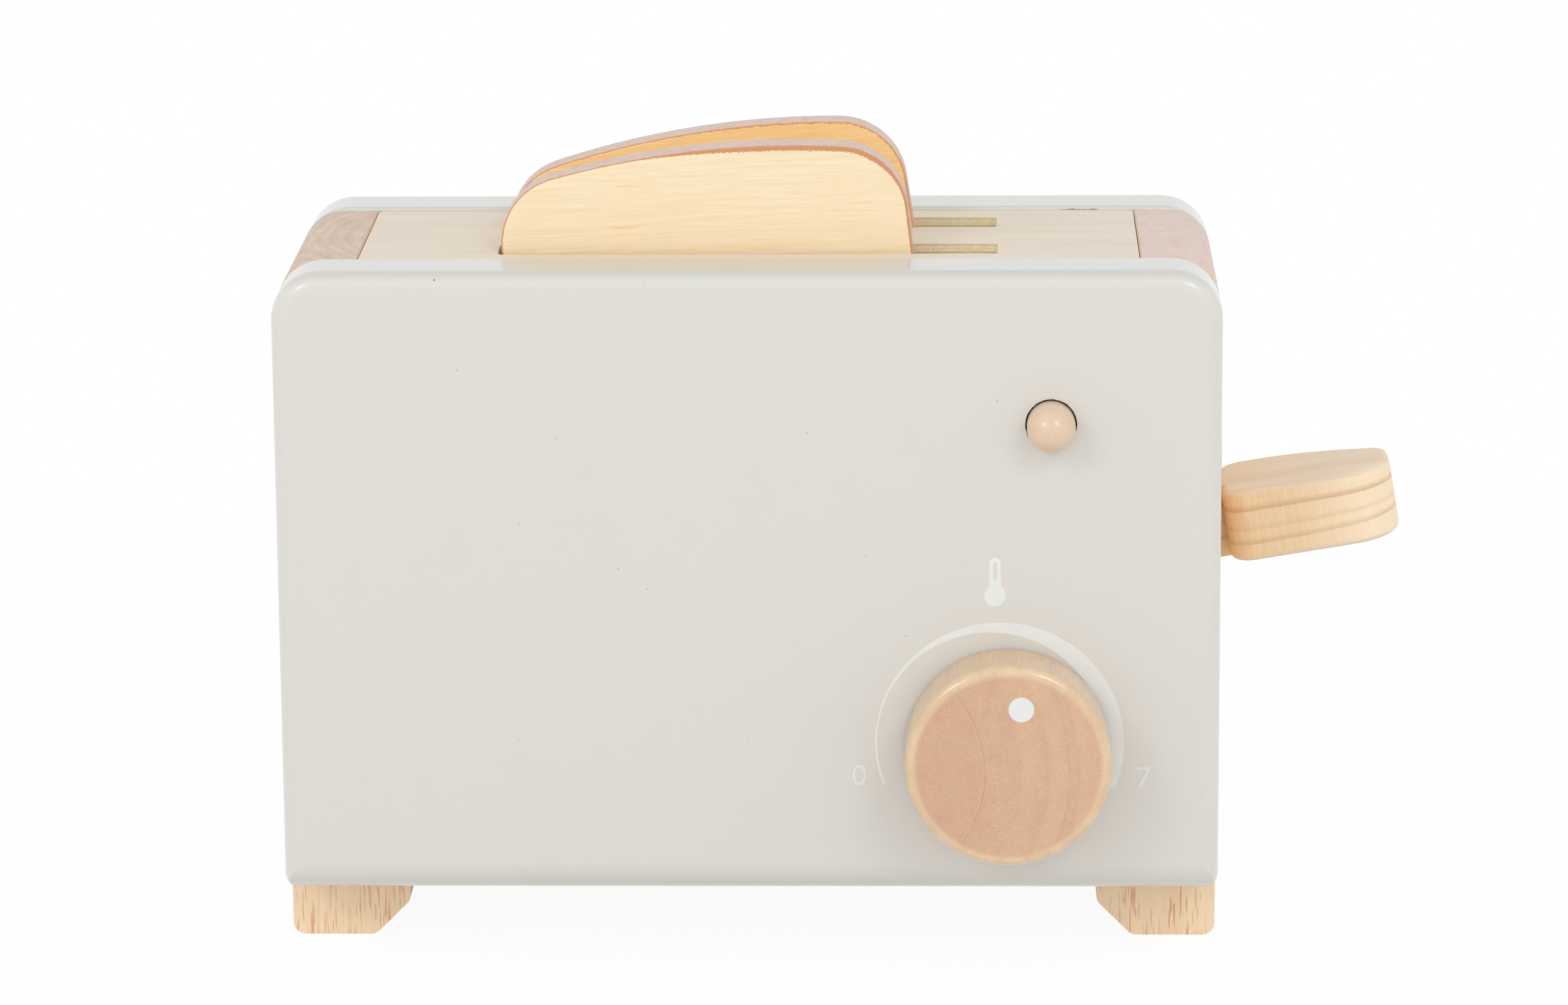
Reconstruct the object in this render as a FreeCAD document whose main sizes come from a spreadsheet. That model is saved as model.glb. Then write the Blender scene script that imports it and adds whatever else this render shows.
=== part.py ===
# Wooden toy toaster: two painted panels on two end boards, a slotted top,
# a rocking lever that lifts two slices of toast, a turning dial and a button.
# Every piece is drawn in the casing's own frame: X to the right with 0 in the
# middle of the casing, Y to the back with 0 at mid-depth, Z up from the floor.
# Each piece is then shifted so that the origin lies under the middle of the
# box around the whole toy, lever and knob included.
import FreeCAD, Part
import Sketcher
import math
import os
import re

doc = FreeCAD.newDocument("toy_toaster")

# Driving dimensions, in millimetres and degrees
SIZES = {
    # casing
    "panel_width": 180.0,
    "panel_height": 122.0,
    "panel_thick": 14.5,
    "case_depth": 80.0,
    "foot_height": 12.7,
    "panel_corner": 9.5,
    "panel_foot_corner": 3.6,
    "edge_round": 3.2,
    "inner_edge_round": 0.8,
    "bottom_round": 6.0,
    "cut_past": 1.0,
    "end_inset": 0.1,
    "end_thick": 23.0,
    "end_wall": 15.1,
    "end_corner": 8.0,
    "end_seam_corner": 1.4,
    "foot_chamfer": 6.9,
    "foot_round": 2.4,
    "top_recess": 0.7,
    "top_thick": 9.0,
    "joint_gap": 0.15,
    "top_corner": 2.0,
    "base_thick": 6.0,
    "base_height": 17.0,
    "slot_left": 48.2,
    "slot_right": 47.6,
    "slot_width": 10.6,
    "slot_offset": 13.2,
    "slot_corner": 1.5,
    # dowels that join the panels to the end boards
    "dowel_size": 8.0,
    "dowel_in_panel": 9.0,
    "dowel_in_end": 18.0,
    "dowel_side": 80.5,
    "dowel_low": 36.0,
    "dowel_high": 113.0,
    # lever, drawn level about its pivot and then tilted
    "pivot_side": 78.5,
    "pivot_height": 75.9,
    "pivot_size": 6.0,
    "running_gap": 0.08,
    "lever_tilt": 9.5,
    "lever_thick": 14.3,
    "neck_width": 10.0,
    "neck_room": 0.6,
    "swing_room": 9.9,
    "arm_reach": 140.0,
    "arm_round": 3.0,
    "paddle_start": 13.9,
    "paddle_end": 47.2,
    "paddle_width": 26.0,
    "paddle_corner": 5.0,
    "paddle_tip": 9.5,
    "paddle_bend": 30.0,
    "paddle_bend_round": 40.0,
    "paddle_back_tip": 4.0,
    "paddle_tip_side": 5.5,
    "paddle_edge": 1.5,
    "rest_width": 16.0,
    "rest_depth": 24.0,
    "rest_drop": 14.0,
    "rest_gap": 0.2,
    # rack on the arm
    "rack_thick": 6.84,
    "rack_near": 36.0,
    "rack_far": 128.0,
    "rack_width": 46.0,
    "groove_deep": 2.0,
    "groove_width": 8.2,
    "screw_size": 3.5,
    "screw_head": 7.0,
    "screw_head_angle": 90.0,
    "screw_tip": 0.6,
    "rack_screw_length": 19.0,
    "rack_screw_near": 52.0,
    "rack_screw_far": 112.0,
    # slices of toast
    "toast_width": 78.5,
    "toast_height": 78.5,
    "toast_thick": 7.0,
    "toast_offset": 12.3,
    "toast_shoulder": 13.3,
    "toast_crown": 173.0,
    "toast_foot_crown": 590.0,
    "toast_foot_corner": 3.0,
    "toast_edge": 0.4,
    "toast_front_tilt": 6.35,
    "toast_front_side": -10.3,
    "toast_back_tilt": 8.95,
    "toast_back_side": -11.2,
    "toast_seat_gap": 0.1,
    # dial
    "dial_side": 49.5,
    "dial_height": 42.1,
    "dial_size": 39.3,
    "dial_thick": 13.5,
    "dial_edge": 1.6,
    "dial_back_edge": 0.6,
    "felt_thick": 0.7,
    "felt_gap": 0.05,
    "felt_size": 26.0,
    "shaft_size": 10.0,
    "shaft_in_knob": 9.0,
    "collar_size": 24.0,
    "collar_thick": 6.0,
    "collar_gap": 0.15,
    "dial_screw_length": 16.0,
    # button
    "button_side": 57.6,
    "button_height": 105.4,
    "button_size": 9.2,
    "button_hole": 9.7,
    "button_proud": 8.3,
    "tail_size": 6.0,
    "tail_length": 6.5,
    "ring_size": 13.0,
    "ring_thick": 3.5,
    "ring_gap": 0.1,
    "housing_width": 17.6,
    "housing_height": 31.0,
    "housing_depth": 16.5,
    "housing_bore": 14.0,
    "housing_floor": 3.5,
    "housing_screw_length": 23.0,
    "housing_screw_spread": 11.0,
    "spring_wire": 0.8,
    "spring_size": 7.8,
    "spring_turns": 5.0,
    "spring_gap": 0.1,
}

sheet = doc.addObject("Spreadsheet::Sheet", "Sizes")
for row, (alias, size) in enumerate(SIZES.items(), start=1):
    sheet.set(f"A{row}", alias.replace("_", " "))
    sheet.set(f"B{row}", str(size))
    sheet.setAlias(f"B{row}", alias)
doc.recompute()

parts = []

# An edge is picked where its middle is this near to the place asked for, and
# where its direction keeps this share of the axis asked for. A cut that takes
# less wood than the last value has missed its board.
TOUCH = 0.05
STRAIGHT = 0.99
LEAST_CUT = 0.1


def full(expression):
    """Puts the sheet's name before each of its aliases in an expression."""
    return re.sub(r"[a-z_]+\b(?!\()", lambda found: (
        "Sizes." + found.group(0) if found.group(0) in SIZES else found.group(0)
    ), expression)


def number(expression):
    """The value of an expression on the sheet's sizes."""
    return float(sheet.evalExpression(full(expression)))


def bind(item, prop, expression):
    item.setExpression(prop, full(expression))


# The box around the whole toy runs from the left panel edge to the tip of the
# lever, and from the face of the knob to the back panel.
LEVER_REACH = ("(pivot_side + paddle_end * cos(lever_tilt * 1 deg)"
               " + (lever_thick / 2 - paddle_edge) * sin(lever_tilt * 1 deg))")
SHIFT_X = f"(panel_width / 2 - {LEVER_REACH}) / 2"
SHIFT_Y = "(dial_thick + felt_thick) / 2"

INNER_DEPTH = "(case_depth - 2 * panel_thick)"
INNER_FACE = "(case_depth / 2 - panel_thick)"
CASE_TOP = "(foot_height + panel_height)"
TOP_FACE = f"({CASE_TOP} - top_recess)"
END_OUT = "(panel_width / 2 - end_inset)"
END_IN = f"({END_OUT} - end_thick)"
WALL_IN = f"({END_OUT} - end_wall)"


def place(item, x="0", y="0", z="0"):
    """Puts a piece at a point of the casing's frame."""
    bind(item, "Placement.Base.x", f"{SHIFT_X} + {x}")
    bind(item, "Placement.Base.y", f"{SHIFT_Y} + {y}")
    bind(item, "Placement.Base.z", z)


def keep(item, name):
    """Adds a finished sub-part to the list that is checked and written."""
    item.Label = name
    parts.append(item)
    return item


def new_body(name, x="0", y="0", z="0", tilt=None):
    """A body at a point, turned left end down by the tilt where one is given."""
    body = doc.addObject("PartDesign::Body", name)
    if tilt:
        body.Placement.Rotation = FreeCAD.Rotation(FreeCAD.Vector(0, -1, 0), number(tilt))
        bind(body, "Placement.Rotation.Angle", f"{tilt} * 1 deg")
    place(body, x, y, z)
    return keep(body, name)


def sketch_on(body, role, name, height=None):
    """A sketch on one of the body's own origin planes, raised along its normal."""
    sketch = body.newObject("Sketcher::SketchObject", f"{body.Name}_{name}")
    plane = next(f for f in body.Origin.OriginFeatures if f.Role == role)
    sketch.AttachmentSupport = [(plane, "")]
    sketch.MapMode = "FlatFace"
    if height:
        bind(sketch, "AttachmentOffset.Base.z", height)
    return sketch


def fix_point(sketch, geometry, end, x, y):
    """Holds one end of a line or arc, or a circle's centre, at two distances."""
    for kind, expression in (("DistanceX", x), ("DistanceY", y)):
        if expression == "0":
            axis = -2 if kind == "DistanceX" else -1
            sketch.addConstraint(Sketcher.Constraint("PointOnObject", geometry, end, axis))
            continue
        rule = Sketcher.Constraint(kind, -1, 1, geometry, end, number(expression))
        index = sketch.addConstraint(rule)
        bind(sketch, f"Constraints[{index}]", expression)


def draw_outline(sketch, points):
    """A closed outline of straight lines through points given as expressions."""
    spots = [FreeCAD.Vector(number(x), number(y), 0) for x, y in points]
    lines = []
    for start, end in zip(spots, spots[1:] + spots[:1]):
        lines.append(sketch.addGeometry(Part.LineSegment(start, end)))
    for line, following in zip(lines, lines[1:] + lines[:1]):
        sketch.addConstraint(Sketcher.Constraint("Coincident", line, 2, following, 1))
    for line, (x, y) in zip(lines, points):
        fix_point(sketch, line, 1, x, y)


def draw_box(sketch, left, low, right, high):
    draw_outline(sketch, [(left, low), (right, low), (right, high), (left, high)])


def draw_circle(sketch, x, y, size):
    """A circle of the given diameter about a point."""
    centre = FreeCAD.Vector(number(x), number(y), 0)
    upright = FreeCAD.Vector(0, 0, 1)
    circle = sketch.addGeometry(Part.Circle(centre, upright, number(size) / 2))
    index = sketch.addConstraint(Sketcher.Constraint("Diameter", circle, number(size)))
    bind(sketch, f"Constraints[{index}]", size)
    fix_point(sketch, circle, 3, x, y)


def pad(body, sketch, length, both_ways=False, turned=False):
    feature = body.newObject("PartDesign::Pad", sketch.Name + "_pad")
    feature.Profile = sketch
    feature.Midplane = both_ways
    feature.Reversed = turned
    bind(feature, "Length", length)
    sketch.Visibility = False
    doc.recompute()
    return feature


def pocket(body, sketch, depth=None, turned=False):
    """A cut to a depth, or right through both ways where no depth is given."""
    before = body.Shape.Volume
    feature = body.newObject("PartDesign::Pocket", sketch.Name + "_cut")
    feature.Profile = sketch
    if depth:
        feature.Reversed = turned
        bind(feature, "Length", depth)
    else:
        feature.Type = "ThroughAll"
        feature.Midplane = True
    doc.recompute()
    if not body.Shape.Volume < before - LEAST_CUT:
        raise RuntimeError(f"{feature.Name} cuts nothing")
    return feature


def screw_holes(body, role, name, height, spots):
    """Holes through a piece, along the sketch's normal, opened into cones for flat heads."""
    before = body.Shape.Volume
    plan = sketch_on(body, role, name, height=height)
    for x, y in spots:
        draw_circle(plan, x, y, "screw_size")
    feature = body.newObject("PartDesign::Hole", f"{plan.Name}_through")
    feature.Profile = plan
    doc.recompute()
    feature.ThreadType = "None"
    feature.HoleCutType = "Countersink"
    feature.HoleCutCountersinkAngle = number("screw_head_angle")
    feature.DepthType = "ThroughAll"
    feature.Reversed = True
    bind(feature, "Diameter", "screw_size")
    bind(feature, "HoleCutDiameter", "screw_head")
    doc.recompute()
    if not body.Shape.Volume < before - LEAST_CUT:
        raise RuntimeError(f"{feature.Name} cuts nothing")


def pilot_holes(body, role, name, height, spots, depth):
    """Blind holes along the sketch's normal for the ends of screws."""
    plan = sketch_on(body, role, name, height=height)
    for x, y in spots:
        draw_circle(plan, x, y, "screw_size")
    pocket(body, plan, depth, turned=True)


def edges_where(feature, wanted):
    """Names of the edges whose middle point and direction pass a test."""
    names = []
    for index, edge in enumerate(feature.Shape.Edges, start=1):
        middle = edge.valueAt((edge.FirstParameter + edge.LastParameter) / 2)
        along = edge.tangentAt((edge.FirstParameter + edge.LastParameter) / 2)
        if wanted(middle, along):
            names.append(f"Edge{index}")
    if not names:
        raise RuntimeError(f"no edge of {feature.Name} passes the test")
    return names


def ease(body, name, radius, wanted, kind="Fillet"):
    """Rounds, or with kind Chamfer bevels, the chosen edges of the body's last shape."""
    feature = body.newObject(f"PartDesign::{kind}", f"{body.Name}_{name}")
    base = feature.BaseFeature or body.Tip
    feature.Base = (base, edges_where(base, wanted))
    bind(feature, "Radius" if kind == "Fillet" else "Size", radius)
    doc.recompute()
    return feature


def near(value, target, room=TOUCH):
    return abs(value - target) < room


def runs_along(axis):
    """A test of an edge's direction against one of the body's axes."""
    return lambda along: abs(getattr(along, axis)) > STRAIGHT


across = runs_along("y")
upward = runs_along("z")


# Panels: one rounded board each, thicker rounding along the lower outer edge

def make_panel(name, side):
    """side is -1 for the front panel, whose outer face looks to -Y, and 1 for the back."""
    body = new_body(name, y=f"{side} * (case_depth - panel_thick) / 2")
    outline = sketch_on(body, "XZ_Plane", "outline")
    draw_box(outline, "-panel_width / 2", "foot_height", "panel_width / 2", CASE_TOP)
    pad(body, outline, "panel_thick", both_ways=True)
    middle_height = number("foot_height + panel_height / 2")
    ease(body, "top_corners", "panel_corner",
         lambda spot, along: across(along) and spot.z > middle_height)
    ease(body, "low_corners", "panel_foot_corner",
         lambda spot, along: across(along) and spot.z < middle_height and near(
             spot.z, number("foot_height")))
    half = number("panel_thick / 2")
    ease(body, "outer_edge", "edge_round", lambda spot, along: near(spot.y, side * half))
    ease(body, "inner_edge", "inner_edge_round",
         lambda spot, along: near(spot.y, -side * half))
    round_lower_edge(body, side)
    cut_dowel_holes(body, side, depth="dowel_in_panel", turned=side < 0)
    return body


def round_lower_edge(body, side):
    """Cuts the lower outer edge back to a wide quarter round."""
    profile = sketch_on(body, "YZ_Plane", "lower_edge")
    face = number("panel_thick / 2") * side
    floor = number("foot_height")
    radius = number("bottom_round")
    past = number("cut_past")
    centre = FreeCAD.Vector(face - side * radius, floor + radius, 0)
    upright = FreeCAD.Vector(0, 0, 1)
    circle = Part.Circle(centre, upright, radius)
    quarter = (math.pi, 1.5 * math.pi) if side < 0 else (1.5 * math.pi, 2 * math.pi)
    arc = profile.addGeometry(Part.ArcOfCircle(circle, *quarter))
    on_face, on_floor = (1, 2) if side < 0 else (2, 1)
    corner = FreeCAD.Vector(face + side * past, floor - past, 0)
    beside = FreeCAD.Vector(face + side * past, floor + radius, 0)
    below = FreeCAD.Vector(face - side * radius, floor - past, 0)
    from_face = profile.addGeometry(Part.LineSegment(
        FreeCAD.Vector(face, floor + radius, 0), beside))
    down = profile.addGeometry(Part.LineSegment(beside, corner))
    along_floor = profile.addGeometry(Part.LineSegment(corner, below))
    to_floor = profile.addGeometry(Part.LineSegment(
        below, FreeCAD.Vector(face - side * radius, floor, 0)))
    for first, end, second, start in (
            (arc, on_face, from_face, 1), (from_face, 2, down, 1), (down, 2, along_floor, 1),
            (along_floor, 2, to_floor, 1), (to_floor, 2, arc, on_floor)):
        profile.addConstraint(Sketcher.Constraint("Coincident", first, end, second, start))
    profile.addConstraint(Sketcher.Constraint("Vertical", to_floor))
    fix_point(profile, arc, 3, f"{side} * (panel_thick / 2 - bottom_round)",
              "foot_height + bottom_round")
    fix_point(profile, from_face, 1, f"{side} * panel_thick / 2", "foot_height + bottom_round")
    outside = f"{side} * (panel_thick / 2 + cut_past)"
    fix_point(profile, down, 1, outside, "foot_height + bottom_round")
    fix_point(profile, along_floor, 1, outside, "foot_height - cut_past")
    fix_point(profile, to_floor, 1, f"{side} * (panel_thick / 2 - bottom_round)",
              "foot_height - cut_past")
    pocket(body, profile)


def dowel_spots():
    return [(f"{side} * dowel_side", height)
            for side in (-1, 1) for height in ("dowel_low", "dowel_high")]


def cut_dowel_holes(body, side, depth, turned, face="panel_thick / 2", only=None):
    """Blind holes on the inner face of a panel, or on one face of an end board."""
    holes = sketch_on(body, "XZ_Plane", "dowel_holes" + ("_front" if side < 0 else "_back"),
                      height=f"{side} * ({face})")
    for x, z in dowel_spots():
        if only is None or number(x) * only > 0:
            draw_circle(holes, x, z, "dowel_size")
    pocket(body, holes, depth, turned)


front_panel = make_panel("front_panel", -1)
back_panel = make_panel("back_panel", 1)

bores = sketch_on(front_panel, "XZ_Plane", "bores")
draw_circle(bores, "dial_side", "dial_height", "shaft_size + 2 * running_gap")
draw_circle(bores, "button_side", "button_height", "button_hole")
pocket(front_panel, bores)
HOUSING_SPREAD = [f"{side} * housing_screw_spread" for side in (-1, 1)]
pilot_holes(front_panel, "XZ_Plane", "screw_holes", "-panel_thick / 2",
            [("button_side", f"button_height + {spread}") for spread in HOUSING_SPREAD],
            "housing_screw_length - housing_depth")


# End boards: foot, rebate for the top board and groove for the bottom board in one

def make_end_board(name, side):
    body = new_body(name)
    outline = sketch_on(body, "XZ_Plane", "outline")
    profile = [
        (f"{END_IN} + foot_chamfer", "0"),
        (END_OUT, "0"),
        (END_OUT, TOP_FACE),
        (WALL_IN, TOP_FACE),
        (WALL_IN, f"{TOP_FACE} - top_thick"),
        (END_IN, f"{TOP_FACE} - top_thick"),
        (END_IN, "base_height + base_thick"),
        (WALL_IN, "base_height + base_thick"),
        (WALL_IN, "base_height"),
        (END_IN, "base_height"),
        (END_IN, "foot_chamfer"),
    ]
    draw_outline(outline, [(f"{side} * ({x})", z) for x, z in profile])
    pad(body, outline, INNER_DEPTH, both_ways=True)
    out, inside = number(END_OUT), number(END_IN)
    chamfer, top = number("foot_chamfer"), number(TOP_FACE)
    ease(body, "shoulder", "end_corner", lambda spot, along: across(along) and near(
        side * spot.x, out) and near(spot.z, top))
    ease(body, "foot_rounds", "foot_round", lambda spot, along: across(along) and (
        (near(spot.z, 0) and side * spot.x > inside)
        or (near(side * spot.x, inside) and near(spot.z, chamfer))))
    ease(body, "seam_corners", "end_seam_corner", lambda spot, along: upward(along) and near(
        side * spot.x, number(WALL_IN)) and spot.z > top - number("top_thick"))
    for face in (-1, 1):
        cut_dowel_holes(body, face, "dowel_in_end", turned=face > 0,
                        face=f"-{INNER_DEPTH} / 2", only=side)
    return body


left_end_board = make_end_board("left_end_board", -1)
right_end_board = make_end_board("right_end_board", 1)

# The right end board has the slot for the lever's neck and the pivot's hole
lever_slot = sketch_on(right_end_board, "YZ_Plane", "lever_slot")
draw_box(lever_slot, "-neck_width / 2 - neck_room", "pivot_height - swing_room",
         "neck_width / 2 + neck_room", "pivot_height + swing_room")
pocket(right_end_board, lever_slot)
pivot_hole = sketch_on(right_end_board, "XZ_Plane", "pivot_hole")
draw_circle(pivot_hole, "pivot_side", "pivot_height", "pivot_size")
pocket(right_end_board, pivot_hole)


# Top board with the two slots, and the bottom board

top_board = new_body("top_board", z=f"{TOP_FACE} - top_thick")
top_plan = sketch_on(top_board, "XY_Plane", "plan")
draw_box(top_plan, f"-{WALL_IN} + joint_gap", f"-{INNER_DEPTH} / 2 + joint_gap",
         f"{WALL_IN} - joint_gap", f"{INNER_DEPTH} / 2 - joint_gap")
for side in (-1, 1):
    draw_box(top_plan, "-slot_left", f"{side} * slot_offset - slot_width / 2",
             "slot_right", f"{side} * slot_offset + slot_width / 2")
pad(top_board, top_plan, "top_thick")
ease(top_board, "slot_corners", "slot_corner", lambda spot, along: upward(along) and (
    near(spot.x, -number("slot_left")) or near(spot.x, number("slot_right"))))
ease(top_board, "seam_corners", "top_corner", lambda spot, along: upward(
    along) and abs(spot.x) > number("slot_left + slot_corner"))

bottom_board = new_body("bottom_board", z="base_height")
bottom_plan = sketch_on(bottom_board, "XY_Plane", "plan")
draw_box(bottom_plan, f"-{WALL_IN}", f"-{INNER_DEPTH} / 2", WALL_IN, f"{INNER_DEPTH} / 2")
pad(bottom_board, bottom_plan, "base_thick")


# Round rods along the depth of the casing, as plain cylinders laid on their side

def make_rod(name, x, y, z, size, length):
    """A cylinder that starts at a point and runs to the back."""
    rod = doc.addObject("Part::Cylinder", name)
    rod.Placement.Rotation = FreeCAD.Rotation(FreeCAD.Vector(1, 0, 0), -90)
    bind(rod, "Radius", f"{size} / 2")
    bind(rod, "Height", length)
    place(rod, x, y, z)
    return rod


def make_group(name, pieces):
    group = doc.addObject("Part::Compound", name)
    group.Links = pieces
    return keep(group, name)


def make_dowels(name, side):
    length = "(dowel_in_panel + dowel_in_end)"
    start = f"-{INNER_FACE} - dowel_in_panel" if side < 0 else f"{INNER_FACE} - dowel_in_end"
    return make_group(name, [
        make_rod(f"{name}_{index}", x, start, z, "dowel_size", length)
        for index, (x, z) in enumerate(dowel_spots(), start=1)])


make_dowels("front_dowels", -1)
make_dowels("back_dowels", 1)
keep(make_rod("lever_pivot_dowel", "pivot_side", f"-{INNER_DEPTH} / 2", "pivot_height",
              "pivot_size", INNER_DEPTH), "lever_pivot_dowel")


# Lever: arm, neck and paddle cut from one board

lever = new_body("lever", x="pivot_side", z="pivot_height", tilt="lever_tilt")
lever_plan = sketch_on(lever, "XY_Plane", "plan")
draw_outline(lever_plan, [
    ("-arm_reach", "-neck_width / 2"),
    ("paddle_start", "-neck_width / 2"),
    ("paddle_start", "-paddle_width / 2"),
    ("paddle_end", "-paddle_width / 2"),
    ("paddle_end", "paddle_tip_side"),
    ("paddle_bend", "paddle_width / 2"),
    ("paddle_start", "paddle_width / 2"),
    ("paddle_start", "neck_width / 2"),
    ("-arm_reach", "neck_width / 2"),
])
pad(lever, lever_plan, "lever_thick", both_ways=True)
half_paddle = number("paddle_width / 2")
shoulder_at = number("paddle_start")
ease(lever, "paddle_bend", "paddle_bend_round", lambda spot, along: upward(along) and near(
    spot.x, number("paddle_bend")) and near(spot.y, half_paddle))
ease(lever, "front_tip", "paddle_tip", lambda spot, along: upward(along) and near(
    spot.x, number("paddle_end")) and near(spot.y, -half_paddle))
ease(lever, "back_tip", "paddle_back_tip", lambda spot, along: upward(along) and near(
    spot.x, number("paddle_end")) and near(spot.y, number("paddle_tip_side")))
ease(lever, "paddle_corners", "paddle_corner", lambda spot, along: upward(along) and near(
    spot.x, shoulder_at) and near(abs(spot.y), half_paddle))
ease(lever, "arm_end", "arm_round", lambda spot, along: upward(along) and near(
    spot.x, -number("arm_reach")))
half_thick = number("lever_thick / 2")
ease(lever, "paddle_edges", "paddle_edge", lambda spot, along: near(
    abs(spot.z), half_thick) and spot.x > shoulder_at + TOUCH)
pivot_bore = sketch_on(lever, "XZ_Plane", "pivot_bore")
draw_circle(pivot_bore, "0", "0", "pivot_size + 2 * running_gap")
pocket(lever, pivot_bore)
RACK_SCREWS = ("-rack_screw_near", "-rack_screw_far")
screw_holes(lever, "XY_Plane", "screw_holes", "-lever_thick / 2",
            [(distance, "0") for distance in RACK_SCREWS])


# Rack: a plate on the arm with a shallow groove under each slice

toast_rack = new_body("toast_rack", x="pivot_side", z="pivot_height", tilt="lever_tilt")
rack_plan = sketch_on(toast_rack, "XY_Plane", "plan", height="lever_thick / 2")
draw_box(rack_plan, "-rack_far", "-rack_width / 2", "-rack_near", "rack_width / 2")
pad(toast_rack, rack_plan, "rack_thick")
grooves = sketch_on(toast_rack, "XY_Plane", "grooves", height="lever_thick / 2 + rack_thick")
for side in (-1, 1):
    draw_box(grooves, "-rack_far - cut_past", f"{side} * toast_offset - groove_width / 2",
             "-rack_near + cut_past", f"{side} * toast_offset + groove_width / 2")
pocket(toast_rack, grooves, "groove_deep")
pilot_holes(toast_rack, "XY_Plane", "screw_holes", "lever_thick / 2",
            [(distance, "0") for distance in RACK_SCREWS], "rack_screw_length - lever_thick")


def make_screw(name, length):
    """A countersunk screw about the Z axis, its flat head's face at 0 and its tip above."""
    head = doc.addObject("Part::Cone", name + "_head")
    bind(head, "Radius1", "screw_head / 2")
    bind(head, "Radius2", "screw_size / 2")
    bind(head, "Height", "(screw_head - screw_size) / 2")
    shank = doc.addObject("Part::Cylinder", name + "_shank")
    bind(shank, "Radius", "screw_size / 2")
    bind(shank, "Height", f"{length} - screw_size")
    tip = doc.addObject("Part::Cone", name + "_tip")
    bind(tip, "Radius1", "screw_size / 2")
    bind(tip, "Radius2", "screw_tip / 2")
    bind(tip, "Height", "screw_size")
    bind(tip, "Placement.Base.z", f"{length} - screw_size")
    screw = doc.addObject("Part::MultiFuse", name)
    screw.Shapes = [head, shank, tip]
    return screw


def along_lever(distance, height):
    """Place of a point of the tilted lever, from its pivot, in the casing's frame."""
    tilt = "lever_tilt * 1 deg"
    x = f"pivot_side + ({distance}) * cos({tilt}) - ({height}) * sin({tilt})"
    z = f"pivot_height + ({distance}) * sin({tilt}) + ({height}) * cos({tilt})"
    return x, z


rack_screws = []
for index, distance in enumerate(RACK_SCREWS, start=1):
    screw = make_screw(f"rack_screw_{index}", "rack_screw_length")
    screw.Placement.Rotation = FreeCAD.Rotation(FreeCAD.Vector(0, -1, 0), number("lever_tilt"))
    bind(screw, "Placement.Rotation.Angle", "lever_tilt * 1 deg")
    screw_x, screw_z = along_lever(distance, "-lever_thick / 2")
    place(screw, screw_x, "0", screw_z)
    rack_screws.append(screw)
make_group("rack_screws", rack_screws)

# The cleat under the far end of the arm, its top sloped as the arm is
lever_rest = new_body("lever_rest")
rest_side = sketch_on(lever_rest, "XZ_Plane", "side")


def under_arm(x):
    """Height of the arm's underside, less the gap, at a place along the casing."""
    return (f"pivot_height + ({x} - pivot_side) * tan(lever_tilt * 1 deg)"
            " - (lever_thick / 2 + rest_gap) / cos(lever_tilt * 1 deg)")


draw_outline(rest_side, [
    (f"-{END_IN}", f"{under_arm(f'(-{END_IN})')} - rest_drop"),
    (f"-{END_IN} + rest_width", f"{under_arm(f'(-{END_IN})')} - rest_drop + rest_width / 2"),
    (f"-{END_IN} + rest_width", under_arm(f"(-{END_IN} + rest_width)")),
    (f"-{END_IN}", under_arm(f"(-{END_IN})")),
])
pad(lever_rest, rest_side, "rest_depth", both_ways=True)


# Slices of toast: straight sides, wide shoulders, crowned top and foot

SEAT = "(lever_thick / 2 + rack_thick - groove_deep + toast_seat_gap)"


def foot_height_of(side_x, tilt):
    """Height of the middle of a slice's foot, for the crowned foot to touch its seat."""
    turn = "(lever_tilt * 1 deg)"
    lean = f"(lever_tilt - {tilt}) * 1 deg"
    rise = f"toast_foot_crown * (1 - cos({lean}))"
    foot_x = f"({side_x} + toast_height * sin({tilt} * 1 deg))"
    seat_line = (f"pivot_height + ({foot_x} - pivot_side) * tan({turn})"
                 f" + ({SEAT} + {rise}) / cos({turn})")
    return foot_x, seat_line


def make_toast(name, side, side_x, tilt):
    """A slice about the middle of its foot, side is -1 in front and 1 behind."""
    foot_x, foot_z = foot_height_of(side_x, tilt)
    body = new_body(name, x=foot_x, y=f"{side} * toast_offset", z=foot_z, tilt=tilt)
    outline = sketch_on(body, "XZ_Plane", "outline")
    draw_toast(outline)
    pad(body, outline, "toast_thick", both_ways=True)
    ease(body, "foot_corners", "toast_foot_corner", lambda spot, along: across(
        along) and spot.z < number("toast_foot_corner"))
    face = number("toast_thick / 2")
    ease(body, "worn_edges", "toast_edge", lambda spot, along: near(abs(spot.y), face),
         kind="Chamfer")
    return body


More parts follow.
